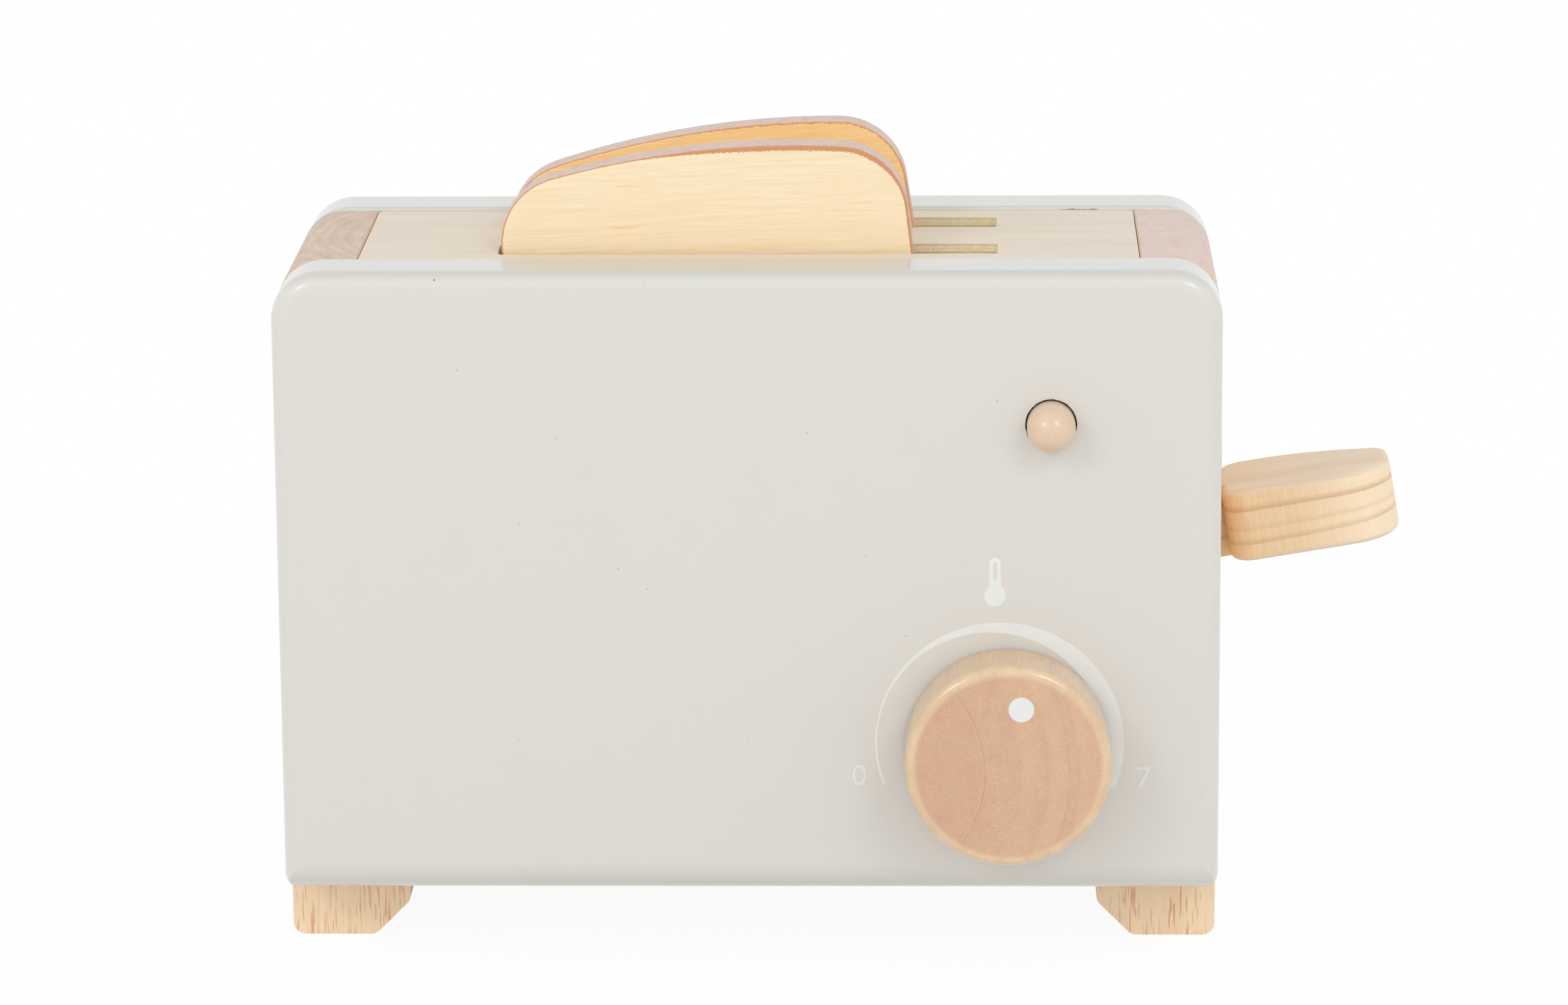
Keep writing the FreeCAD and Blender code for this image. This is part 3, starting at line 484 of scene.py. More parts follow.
def worn_and_shaded_top(board, colour):
    """The paint with its rubbed streaks, nicks and stain, which all lie along the top, and painted
    shade that darkens the faces that look up.
    """
    x = board.along((1, 0, 0))
    depth = board.along((0, 1, 0)) - SHIFT_Y
    z = board.along((0, 0, 1))
    # Painted shade: faces that look up are mixed towards a darker grey, as if less light fell on them.
    upward = board.step(board.dot(board.facing, (0, 0, 1)), 0.4, 1.0)
    colour = board.mix(colour, PAINT_SHADE_ABOVE, upward * 0.8)
    on_top = board.step(z, PANEL_TOP - WEAR_FROM, PANEL_TOP - WEAR_FULL)
    streaks = board.lumps((9, 0.7, 0.8), 3.0, 0.6)
    rubbed = on_top * board.step(streaks, 0.47, 0.6) * board.step(x, 5, 40)
    rubbed = rubbed * board.band(depth, INNER_FACE + 2.4, 1.7, 1.6)
    colour = board.mix(colour, RUBBED, rubbed * 0.6)
    nicks = board.step(board.lumps((0.9, 0.5, 0.5), 1.0), 0.56, 0.66) * board.band(x, NICKS_X, 7, 2)
    nicks = nicks * board.band(depth, NICKS_Y, 0.6, 0.5) * on_top
    colour = board.mix(colour, NICKED, nicks * 0.7)
    over_board = z - TOP_FACE
    blot = (board.lumps((1.5, 9, 9), 4.0, 0.75) - 0.33) * 1.5
    stain = board.step(blot - over_board, 0, 0.15) * board.band(x, STAIN_X, 3.7, 0.8)
    stain = stain * board.band(depth, INNER_FACE + 0.1, 0.5, 0.3) * board.step(over_board, -0.3, -0.1)
    return board.mix(colour, STAINED, stain * 0.8)


print("wear starts", WEAR_FROM, "mm below the top of the panels")


# %% Satin paint
def paint_finish():
    board = Finish("grey_paint", {"IOR": 1.45, "Specular IOR Level": 0.4, "Coat Weight": 1.0,
                                  "Coat Roughness": 0.22})
    mottle = board.lumps(7, 2.0)
    peel = board.lumps(1.1, 2.0)
    dust = board.specks(6.0, 0.42)
    colour = board.mix(PAINT, PAINT_WARM, board.lumps(45, 3.0))
    colour = board.mix(colour, PAINT_DULL, board.step(mottle, 0.5, 0.9) * 0.3)
    colour = board.mix(colour, DUST, dust * 0.7)
    gap = board.vector("SUBTRACT", board.place, SPECK)
    speck = 1 - board.step(board.dot(gap, gap) ** 0.5, 0.1, 0.28)
    colour = worn_and_shaded_top(board, board.mix(colour, DARK_SPECK, speck * 0.95))

    # The ring round the button's hole: a burnt edge, made darker by painted shade of the gap round the
    # peg.
    across = board.along((1, 0, 0), (BUTTON_X, 0, 0))
    over = board.along((0, 0, 1), (0, 0, BUTTON_Z))
    radius = board.away(across, over) + board.lumps(0.5) * 0.35
    burnt_and_shaded = 1 - board.step(radius, BUTTON_HOLE + 0.16, BUTTON_HOLE + 0.3)
    burnt_and_shaded = burnt_and_shaded * (1 - board.step(board.along((0, 1, 0)), FRONT + 4, FRONT + 6))
    colour = board.mix(colour, CHARRED_AND_SHADED, burnt_and_shaded * 0.95)
    rough = 0.36 + mottle * 0.08 + burnt_and_shaded * 0.4
    return board.end_with(colour, rough, peel * 0.7 + dust * 0.3, 0.018)


cover(paint_finish(), "front_panel", "back_panel")

# %% [markdown]
# ## Solid ends
#
# The two ends are solid boards whose grain stands upright, so their feet show
# upright stripes and small brown pores, and their tops show end grain: faint arcs
# of rings, pinker and a little darker, because cut fibres soak up light. The left
# board was sanded from front to back, which left fine short scratches that way.
# On the right one they cross.

# %% Wood of the end boards
END_INNER = 89.9 - 15.1
SIDE_PALE, SIDE_DEEP, SIDE_STREAK = tint(255, 228, 193), tint(240, 198, 152), tint(255, 233, 198)
PORE_BROWN, RING_BROWN, JOINT_LINE_BROWN = tint(214, 148, 92), tint(176, 150, 134), tint(206, 160, 122)


def end_board_finish(name, heart, ring, clear, cut_pale, cut_dark, crossing):
    board = Finish(name, {"Specular IOR Level": 0.3})
    wood = Timber(board, (0, 0.015, 1), heart, ring, 2.0)
    streak = board.cloud(wood.grain(1.3, 45.0), 2.0)
    long_side = board.mix(SIDE_PALE, SIDE_DEEP, wood.late * 0.14 + wood.fibre * 0.3)
    long_side = board.mix(long_side, SIDE_STREAK, board.step(streak, 0.45, 0.75) * 0.5)
    pores = wood.pores(0.42, 7.0, 0.22)
    groups = board.step(board.cloud(wood.grain(2.6, 14.0), 1.0), 0.3, 0.6)
    long_side = board.mix(long_side, PORE_BROWN, pores * (0.2 + groups * 0.45))

    scratches = board.lumps((0.4, 1.0, 0.4), 4.0, 0.8)
    crossed = board.lumps((1.8, 0.45, 0.3), 3.0, 0.65)
    rubs = scratches * (1 - crossing) + crossed * crossing
    blots = board.lumps((2.6, 7.0, 2.6), 4.0, 0.6)
    marks = board.step(rubs, 0.36, 0.64) * 0.65 + board.step(blots, 0.3, 0.7) * 0.35
    cut_end = board.mix(board.mix(cut_pale, cut_dark, marks), RING_BROWN, wood.late * clear)
    colour = board.mix(long_side, cut_end, wood.end)
    # Darker and browner in a narrow strip along the top of the inner edge, where the end meets the top
    # board.
    inner = abs(abs(board.along((1, 0, 0), (SHIFT_X, 0, 0))) - END_INNER)
    along_joint = 1 - board.step(inner, 0.2, 0.5)
    along_joint = along_joint * board.step(board.along((0, 0, 1)), TOP_FACE - 1.0, TOP_FACE)
    colour = board.mix(colour, JOINT_LINE_BROWN, along_joint * 0.5)
    rough = 0.5 + wood.fibre * 0.15 + wood.end * 0.1
    height = wood.fibre * 0.4 + rubs * wood.end * 0.3 + (1 - pores) * 0.3
    return board.end_with(colour, rough, height, 0.05)


left_wood = end_board_finish("left_end_wood", heart=(-64, 7, 0), ring=3.1, clear=0.2,
                             cut_pale=tint(232, 211, 192), cut_dark=tint(206, 179, 157), crossing=0.1)
right_wood = end_board_finish("right_end_wood", heart=(20, 95, 0), ring=5.2, clear=0.05,
                              cut_pale=tint(236, 216, 203), cut_dark=tint(219, 195, 180), crossing=0.6)
cover(left_wood, "left_end_board")
cover(right_wood, "right_end_board")

# %% [markdown]
# ## Plywood
#
# The top is plywood: thin sheets glued with their grain crossed. Its face is one
# sheet of pale veneer, peeled off a turning log, so it has almost no rings, only
# fine short lines. Its edges, seen inside the slots, show the pale face sheet,
# then a brown one whose fibres end there, a dark line of glue, and a pale one
# whose fibres run along the slot.

# %% Plywood of the top and bottom
GLUE, VENEER_MARK = tint(140, 112, 78), tint(198, 174, 144)
BROWN_SHEET = tint(255, 250, 220), tint(242, 214, 168)
CREAM_SHEET = tint(255, 255, 228), tint(255, 248, 204)


def plywood_finish(name, top, veneer, sheet, pale, dark):
    board = Finish(name, {"Specular IOR Level": 0.3})
    fine = board.lumps((11, 0.3, 0.3), 3.0, 0.6)
    broad = board.lumps((55, 6, 6), 2.0)
    marks = board.step(board.lumps((2.4, 0.25, 0.25), 1.0), 0.68, 0.76)
    face = board.mix(pale, dark, fine * 0.4 + board.step(broad, 0.42, 0.72) * 0.4)
    face = board.mix(face, VENEER_MARK, marks * 0.3)

    glue_line = top - veneer
    deep = (glue_line - board.along((0, 0, 1))) / sheet
    crossed = board.step((deep / 2).part(), 0.49, 0.51)
    cut_fibres = board.lumps((0.45, 0.45, 0.4), 3.0, 0.7)
    long_fibres = board.lumps((6, 6, 0.3), 2.0)
    brown = board.mix(*BROWN_SHEET, board.step(cut_fibres, 0.3, 0.7))
    edge = board.mix(brown, board.mix(*CREAM_SHEET, long_fibres), crossed)
    edge = board.mix(edge, GLUE, board.band((deep + 0.5).part(), 0.5, 0.06, 0.04) * 0.6)
    outermost = board.step(board.along((0, 0, 1)), glue_line - 0.05, glue_line + 0.05)
    edge = board.mix(edge, pale, outermost)
    upright = 1 - board.turned_away((0, 0, 1), 0.3, 0.6)
    colour = board.mix(face, edge, upright)
    return board.end_with(colour, 0.52 + fine * 0.18, fine * 0.6 + cut_fibres * upright * 0.4, 0.04)


top_wood = plywood_finish("top_plywood", top=TOP_FACE, veneer=0.35, sheet=1.5,
                          pale=tint(236, 223, 204), dark=tint(224, 206, 186))
base_wood = plywood_finish("base_plywood", top=23.0, veneer=0.5, sheet=1.7,
                           pale=tint(232, 216, 192), dark=tint(214, 190, 160))
cover(top_wood, "top_board")
cover(base_wood, "bottom_board", "toast_rack")

# %% [markdown]
# ## Edges that sandpaper has touched
#
# A solid from CAD has edges without any width. On the toy the edges of the top
# and of the two ends were sanded, and each one shows as a thin light line. A copy
# of the solid can have that: its corner points are welded, flat faces are made
# whole, and a bevel rounds what is left over as an edge.

# %% Round the edges of the top and the ends
SEAM = 0.002 * MM
SANDED = 0.35 * MM
ROUNDING_STEPS = 3
SHARP = math.radians(30)
FLAT = math.radians(1)


def sanded(name, node, material):
    """A copy of a solid with narrow rounded edges."""
    shape = bmesh.new()
    shape.from_mesh(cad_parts[node].data)
    bmesh.ops.remove_doubles(shape, verts=shape.verts, dist=SEAM)
    bmesh.ops.dissolve_limit(shape, angle_limit=FLAT, verts=shape.verts, edges=shape.edges)
    mesh = bpy.data.meshes.new(name)
    shape.to_mesh(mesh)
    shape.free()
    copy = add_object(name, mesh)
    bevel = copy.modifiers.new("bevel", "BEVEL")
    bevel.width = SANDED
    bevel.segments = ROUNDING_STEPS
    bevel.limit_method = "ANGLE"
    bevel.angle_limit = SHARP
    bevel.harden_normals = True
    graph = bpy.context.evaluated_depsgraph_get()
    rounded = bpy.data.meshes.new_from_object(copy.evaluated_get(graph))
    copy.modifiers.clear()
    copy.data = rounded
    rounded.materials.clear()
    rounded.materials.append(material)
    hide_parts(node)
    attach(copy, "casing")
    print(name, "has", len(rounded.polygons), "faces")


sanded("sanded_top", "top_board", top_wood)
sanded("sanded_left_end", "left_end_board", left_wood)
sanded("sanded_right_end", "right_end_board", right_wood)

# %% [markdown]
# ## The lever
#
# One board makes paddle, neck and arm. Three growth lines cross the front edge of
# the paddle: a dark one that ends sharply at its lower side, a faint one, and a
# brown one near the bottom. They follow the board at first and then climb, the
# lower ones more. They are too clear to leave to chance, so their heights are
# given, from the middle of the board's thickness and where the pivot is.

# %% Wood of the lever
LEVER_TILT = math.radians(9.5)
PIVOT = Vector((78.5 + SHIFT_X, SHIFT_Y, 75.9))
CLIMB_FROM = 18.0
FRONT_PALE, FRONT_DEEP, FRONT_TIP = tint(248, 219, 179), tint(233, 196, 150), tint(255, 236, 208)
TOP_PALE, TOP_DEEP, TOP_BAND = tint(238, 221, 198), tint(231, 206, 178), tint(229, 198, 171)
LINE_BROWN, TOP_FIBRE = tint(206, 155, 104), tint(219, 187, 156)
# Each growth line: where it starts, is full, begins to fade and is gone, and how dark it is.
GROWTH_LINES = ((2.85, 3.0, 3.1, 4.6, 0.6), (-1.15, -0.95, -0.9, 0.6, 0.22),
                (-3.95, -3.75, -3.65, -2.3, 0.48))


def lever_finish():
    board = Finish("lever_wood", {"Specular IOR Level": 0.35})
    trunk = Vector((math.cos(LEVER_TILT), 0, math.sin(LEVER_TILT)))
    growth = Vector((-math.sin(LEVER_TILT), 0, math.cos(LEVER_TILT)))
    along = board.along(trunk, PIVOT)
    rise = board.along(growth, PIVOT)
    side = board.along((0, 1, 0), PIVOT)
    past = (along - CLIMB_FROM).at_least(0)
    climb = past * past * (0.0013 - rise * 0.0002)
    drift = board.cloud(board.gather(along / 26, side / 9, rise / 9), 2.0)
    ragged = board.cloud(board.gather(along / 1.5, side / 0.8, rise / 0.6), 2.0)
    layer = rise - climb + (drift - 0.5) * 0.5 + (ragged - 0.5) * 0.3

    fibre = board.cloud(board.gather(along / 7, side / 0.35, rise / 0.3), 3.0, 0.6)
    upright = board.cloud(board.gather(along / 0.35, side / 2, rise / 5.0), 3.0, 0.6)
    streak = board.cloud(board.gather(along / 30, side / 2.6, rise / 2.0), 2.0)
    upper, faint, lower = [
        board.step(layer, start, full) * (1 - board.step(layer, fading, gone)) * weight
        for start, full, fading, gone, weight in GROWTH_LINES]
    dark = (upper + faint + lower) * (0.5 + streak * 0.8)
    ribs = board.step(upright, 0.35, 0.65) * 0.4 + fibre * 0.25
    front = board.mix(FRONT_PALE, FRONT_DEEP, ribs)
    front = board.mix(front, FRONT_TIP, board.step(along, 24, 44) * 0.6)
    front = board.mix(front, LINE_BROWN, dark)

    veins = board.cloud(board.gather(along / 22, side / 1.6, rise / 3), 3.0, 0.6)
    broad = board.band(side + (drift - 0.5) * 6, -3.5, 2.5, 5.0)
    top = board.mix(TOP_PALE, TOP_DEEP, board.step(veins, 0.4, 0.7) * 0.6)
    top = board.mix(top, TOP_BAND, broad * 0.5)
    top = board.mix(top, TOP_FIBRE, board.step(fibre, 0.52, 0.8) * 0.3)
    facing_up = board.turned_away(growth, 0.3, 0.7)
    colour = board.mix(front, top, facing_up * 0.9)
    return board.end_with(colour, 0.46 + fibre * 0.16, fibre * 0.5 + upright * 0.3, 0.03)


cover(lever_finish(), "lever")

# %% [markdown]
# ## Turned pieces
#
# Knob and button were turned from pale dense wood. The knob's face is end grain:
# one thin line is a ring round a heart that lies 30 mm to the left, wide paler
# bands follow it to the right, and countless short flecks cover all. The rounded
# rim was sanded last and is lighter and yellower. It also took the most lacquer,
# so it shines. The lathe has left fine grooves round the tip of the button.

# %% Wood of the knob
DIAL_X, DIAL_Z = 49.5 + SHIFT_X, 42.1
KNOB_FACE = FRONT - 0.7 - 13.5
KNOB_RADIUS = 39.3 / 2
HEART_GAP = 29.6
FIRST_LINE, SECOND_LINE = 25.1, 41.3
FACE_PALE, FACE_DEEP = tint(226, 187, 153), tint(206, 160, 130)
BLOT_PINK, HEART_PINK = tint(208, 160, 134), tint(206, 158, 132)
YEAR_PALE, LINE_DARK = tint(230, 192, 152), tint(190, 138, 102)
TURNED_PALE, TURNED_DEEP = tint(230, 192, 149), tint(208, 167, 125)
RIM_PALE, RIM_DEEP = tint(234, 202, 162), tint(212, 172, 134)


def knob_finish():
    board = Finish("knob_wood", {"Specular IOR Level": 0.4, "Coat Roughness": 0.2, "Coat IOR": 1.75})
    heart = (DIAL_X - HEART_GAP, FRONT, DIAL_Z - 1.0)
    wood = Timber(board, (0, 1, 0), heart, 5.6, 1.5, 0.6)
    x = board.along((1, 0, 0), heart)
    z = board.along((0, 0, 1), heart)
    y = board.along((0, 1, 0), heart)
    flecks = board.cloud(board.gather(x / 0.85, z / 0.28, y / 2), 3.0, 0.75)
    slanted = board.cloud(board.gather((x + z) / 0.3, (x - z) / 1.1, y / 2), 2.0, 0.7)
    blots = board.cloud(board.gather(x / 2.6, z / 4.2, y / 9), 3.0, 0.6)
    lines = board.band(wood.radius, FIRST_LINE, 0.09, 0.14)
    lines = lines + board.band(wood.radius, SECOND_LINE, 0.3, 0.5) * 0.3
    cut = board.step(flecks, 0.35, 0.65) * 0.55 + board.step(slanted, 0.3, 0.7) * 0.35
    face = board.mix(FACE_PALE, FACE_DEEP, cut)
    face = board.mix(face, BLOT_PINK, board.step(blots, 0.4, 0.68) * 0.45)
    face = board.mix(face, HEART_PINK, (1 - board.step(x, 21, 26)) * 0.25)
    face = board.mix(face, YEAR_PALE, (1 - wood.late) * board.step(x, 26, 34) * 0.3)
    face = board.mix(face, LINE_DARK, lines * 0.45)

    wide = board.along((1, 0, 0), (DIAL_X, 0, 0))
    high = board.along((0, 0, 1), (0, 0, DIAL_Z))
    turned = board.step(wood.fibre, 0.3, 0.7) * 0.6 + wood.late * 0.25
    side = board.mix(TURNED_PALE, TURNED_DEEP, turned)
    rim = board.mix(RIM_PALE, RIM_DEEP, board.step(blots, 0.35, 0.65) * 0.45 + flecks * 0.3)
    radius = board.away(wide, high) + (flecks - 0.5) * 1.2 + (blots - 0.5) * 0.6
    edge = board.step(radius, KNOB_RADIUS - 2.5, KNOB_RADIUS - 1.3)
    colour = board.mix(face, rim, edge)
    colour = board.mix(colour, side, board.step(y, KNOB_FACE - FRONT + 0.9, KNOB_FACE - FRONT + 2.2))
    board.feed(board.shader.socket.node.inputs["Coat Weight"], 0.1 + edge * 0.9)
    return board.end_with(colour, 0.42 + flecks * 0.1, flecks * 0.6 + slanted * 0.4, 0.012)


cover(knob_finish(), "dial_knob")

# %% Wood of the button
LATHE_STEP = 0.42
TIP_PALE, TIP_DEEP = tint(234, 208, 178), tint(216, 181, 150)
PEG_PALE, PEG_DEEP = tint(238, 210, 176), tint(218, 184, 150)


def peg_finish():
    board = Finish("peg_wood", {"Specular IOR Level": 0.5, "Coat Weight": 1.0, "Coat Roughness": 0.24,
                                 "Coat IOR": 1.6})
    x = board.along((1, 0, 0), (BUTTON_X, 0, 0))
    z = board.along((0, 0, 1), (0, 0, BUTTON_Z))
    radius = board.away(x, z)
    wobble = board.lumps(1.6, 2.0)
    groove = abs(((radius + wobble * 0.25) / LATHE_STEP).part() - 0.5) * 2
    fibre = board.lumps((0.25, 6, 0.25), 3.0, 0.6)
    turned = board.step(groove, 0.2, 0.9) * 0.55 + board.lumps((1.2, 3, 2.0), 3.0) * 0.3
    face = board.mix(TIP_PALE, TIP_DEEP, turned)
    side = board.mix(PEG_PALE, PEG_DEEP, fibre)
    colour = board.mix(face, side, board.step(radius, 3.6, 4.5))
    return board.end_with(colour, 0.4 + fibre * 0.1, groove * 0.8 + fibre * 0.2, 0.03)


cover(peg_finish(), "button_peg")


# %% Wood of the hidden pieces
PLAIN_PALE, PLAIN_DEEP = tint(228, 198, 160), tint(196, 156, 112)


def plain_wood(name, trunk, heart):
    board = Finish(name, {"Specular IOR Level": 0.35})
    wood = Timber(board, trunk, heart, 3.4, 0.8)
    pores = wood.pores(0.25, 2.0, 0.08)
    marks = wood.late * 0.35 + wood.fibre * 0.45 + pores * 0.3
    colour = board.mix(PLAIN_PALE, PLAIN_DEEP, marks)
    return board.end_with(colour, 0.5 + wood.fibre * 0.16, wood.fibre, 0.03)


cover(plain_wood("dowel_wood", (0, 1, 0), (0, 0, 40)), "front_dowels", "back_dowels",
      "lever_pivot_dowel", "dial_shaft", "dial_collar", "button_ring")
cover(plain_wood("block_wood", (0, 0, 1), (0, -60, 0)), "button_housing", "lever_rest")

# %% [markdown]
# ## Steel and felt
#
# Screws, the button's spring and a felt ring behind the knob are all but hidden.
# They still get a finish: drawn wire has fine lines, plating has faint clouds,
# and felt is a mat of fibres without direction.

# %% Finishes of the fittings
STEEL_BRIGHT, STEEL_DULL = tint(205, 204, 200), tint(172, 172, 174)
FELT_PALE, FELT_DARK = tint(170, 162, 150), tint(120, 112, 102)


def steel_finish(name, lines):
    board = Finish(name, {"Metallic": 1.0})
    clouds = board.lumps(2.5, 3.0)
    colour = board.mix(STEEL_BRIGHT, STEEL_DULL, clouds)
    return board.end_with(colour, 0.28 + clouds * 0.2, board.lumps(lines), 0.01)


def felt_finish():
    board = Finish("pressed_felt", {"Sheen Weight": 0.4, "Specular IOR Level": 0.2})
    mat = board.lumps(0.25, 4.0, 0.8)
    colour = board.mix(FELT_PALE, FELT_DARK, mat)
    return board.end_with(colour, 0.9 + mat * 0.1, mat, 0.15)


plated_steel = steel_finish("plated_steel", (0.2, 2.0, 0.2))
spring_steel = steel_finish("spring_steel", (0.3, 0.1, 0.3))
cover(plated_steel, "rack_screws", "dial_screw", "housing_screws")
cover(felt_finish(), "dial_felt")

# %% [markdown]
# ## The spring
#
# The solid of the spring is a stiff coil. A real one gets shorter when the button
# is pushed. The coil is wound again here, from the size of its box: a small ring of
# points is carried round and along, and each ring is joined to the next.

# %% Wind the spring
TURNS = 5
STEPS = 28
WIRE = 0.4 * MM
WIRE_SIDES = 8


def join_rings(rings, count):
    """Four-sided faces from each ring of points to the next."""
    faces = []
    for a in range(0, (rings - 1) * count, count):
        b = a + count
        for side in range(count):
            after = (side + 1) % count
            faces.append((a + side, a + after, b + after, b + side))
    return faces


def wind_spring(name, node, turns):
    low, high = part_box(node)
    centre = (low + high) / 2
    radius = (high.x - low.x) / 2 - WIRE
    length = high.y - low.y - 2 * WIRE
    rings = turns * STEPS + 1
    points = []
    for ring in range(rings):
        turn = 2 * math.pi * ring / STEPS
        out = Vector((math.cos(turn), 0, math.sin(turn)))
        y = low.y + WIRE + length * ring / (rings - 1)
        middle = Vector((centre.x, y, centre.z)) + radius * out
        for side in range(WIRE_SIDES):
            angle = 2 * math.pi * side / WIRE_SIDES
            spoke = math.cos(angle) * out + math.sin(angle) * Vector((0, 1, 0))
            points.append(middle + WIRE * spoke)
    faces = join_rings(rings, WIRE_SIDES)
    faces.append(tuple(reversed(range(WIRE_SIDES))))
    faces.append(tuple(range((rings - 1) * WIRE_SIDES, rings * WIRE_SIDES)))
    mesh = bpy.data.meshes.new(name)
    mesh.from_pydata(points, [], faces)
    mesh.shade_smooth()
    mesh.materials.append(spring_steel)
    spring = add_object(name, mesh)
    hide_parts(node)
    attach(spring, "casing")
    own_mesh(spring)
    print(name, "has", len(faces), "faces in", turns, "turns")


wind_spring("coil_spring", "button_spring", TURNS)

# %% [markdown]
# ## Slices of toast
#
# Each slice is a thin board of pale wood. Its edge was rolled in brown paint, and
# the paint ran a little way onto the faces, further where the fibres drew it in.
# To paint that, the finish has to know how far each point lies from the edge. So
# the slice is built anew from the outline of its solid, as rings that step
# inward, and every ring carries its distance as a number.
# On the edge the paint is coloured paler and pinker than it is, most where the edge looks up: that is
# painted sheen.

# %% Find the outline of a solid
POINT_GAP = 0.8 * MM
FACES_STRAIGHT = 0.999


def rim_of(name, towards):
    """The outline of the flat face of a CAD node that looks one way, as points in order."""
    shape = bmesh.new()
    shape.from_mesh(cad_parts[name].data)
    bmesh.ops.remove_doubles(shape, verts=shape.verts, dist=SEAM)
    flat = {face for face in shape.faces if face.normal.dot(towards) > FACES_STRAIGHT}
    edges = {edge for face in flat for edge in face.edges
             if sum(other in flat for other in edge.link_faces) == 1}
    start = min((edge.verts[0] for edge in edges), key=lambda point: tuple(point.co))
    walk, here = [start.co.copy()], start
    while edges:
        edge = min((edge for edge in here.link_edges if edge in edges),
                   key=lambda e: tuple(e.other_vert(here).co))
        edges.remove(edge)
        here = edge.other_vert(here)
        walk.append(here.co.copy())
    shape.free()
    return walk[:-1]


def evenly(walk, gap):
    """The same closed outline with points a fixed gap apart."""
    closed = walk + walk[:1]
    lengths = [(b - a).length for a, b in zip(closed, closed[1:])]
    count = round(sum(lengths) / gap)
    points, leg, gone = [], 0, 0.0
    for index in range(count):
        target = index * sum(lengths) / count
        while gone + lengths[leg] < target:
            gone += lengths[leg]
            leg += 1
        points.append(closed[leg].lerp(closed[leg + 1], (target - gone) / lengths[leg]))
    return points


front_rim = evenly(rim_of("front_toast", Vector((0, -1, 0))), POINT_GAP)
print("the front slice has", len(front_rim), "points round its face")

# %% Build a slice in rings
CUT_EDGE = 0.4
# How far each ring lies inward and how far it drops below the face, in millimetres.
RINGS_IN = ((0.0, 0.6), (0.05, 0.35), (0.18, 0.15), (0.36, 0.04), (0.6, 0.0),
            (0.9, 0.0), (1.3, 0.0), (2.0, 0.0), (2.8, 0.0))


def make_slice(name, node, material):
    """A slice with rounded edges. Its points know how far they lie from its edge."""
    low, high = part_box(node)
    rim = evenly(rim_of(node, Vector((0, -1, 0))), POINT_GAP)
    centre = sum(rim, Vector()) / len(rim)
    outward = [(after - before).normalized().cross(Vector((0, 1, 0)))
               for before, after in zip(rim[-1:] + rim[:-1], rim[1:] + rim[:1])]
    if sum(n.dot(p - centre) for n, p in zip(outward, rim)) < 0:
        outward = [-n for n in outward]
    levels = [(inset, low.y + drop * MM) for inset, drop in reversed(RINGS_IN)]
    levels += [(inset, high.y - drop * MM) for inset, drop in RINGS_IN]
    points, depths = [], []
    for inset, y in levels:
        for p, n in zip(rim, outward):
            spot = p + n * (CUT_EDGE - inset) * MM
            points.append((spot.x, y, spot.z))
            depths.append(inset)
    count = len(rim)
    faces = [tuple(range(count)), tuple(range((len(levels) - 1) * count, len(levels) * count))]
    faces += join_rings(len(levels), count)
    mesh = bpy.data.meshes.new(name)
    mesh.from_pydata(points, [], faces)
    mesh.attributes.new("from_edge", "FLOAT", "POINT").data.foreach_set("value", depths)
    shape = bmesh.new()
    shape.from_mesh(mesh)
    bmesh.ops.recalc_face_normals(shape, faces=shape.faces)
    shape.to_mesh(mesh)
    shape.free()
    mesh.shade_smooth()
    mesh.materials.append(material)
    piece = add_object(name, mesh)
    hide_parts(node)
    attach(piece, node)
    print(name, "has", len(faces), "faces")


print("a slice has", 2 * len(RINGS_IN), "rings")

# %% Finish of a slice
DARK_FLECK = tint(200, 140, 90)
STAIN_PALE, STAIN_DEEP = tint(222, 160, 118), tint(204, 138, 98)
# The crust colours are the edge paint with a painted sheen on it, paler and pinker than the brown
# paint.
SHEENED_CRUST_PALE, SHEENED_CRUST_DEEP = tint(226, 204, 191), tint(211, 184, 169)


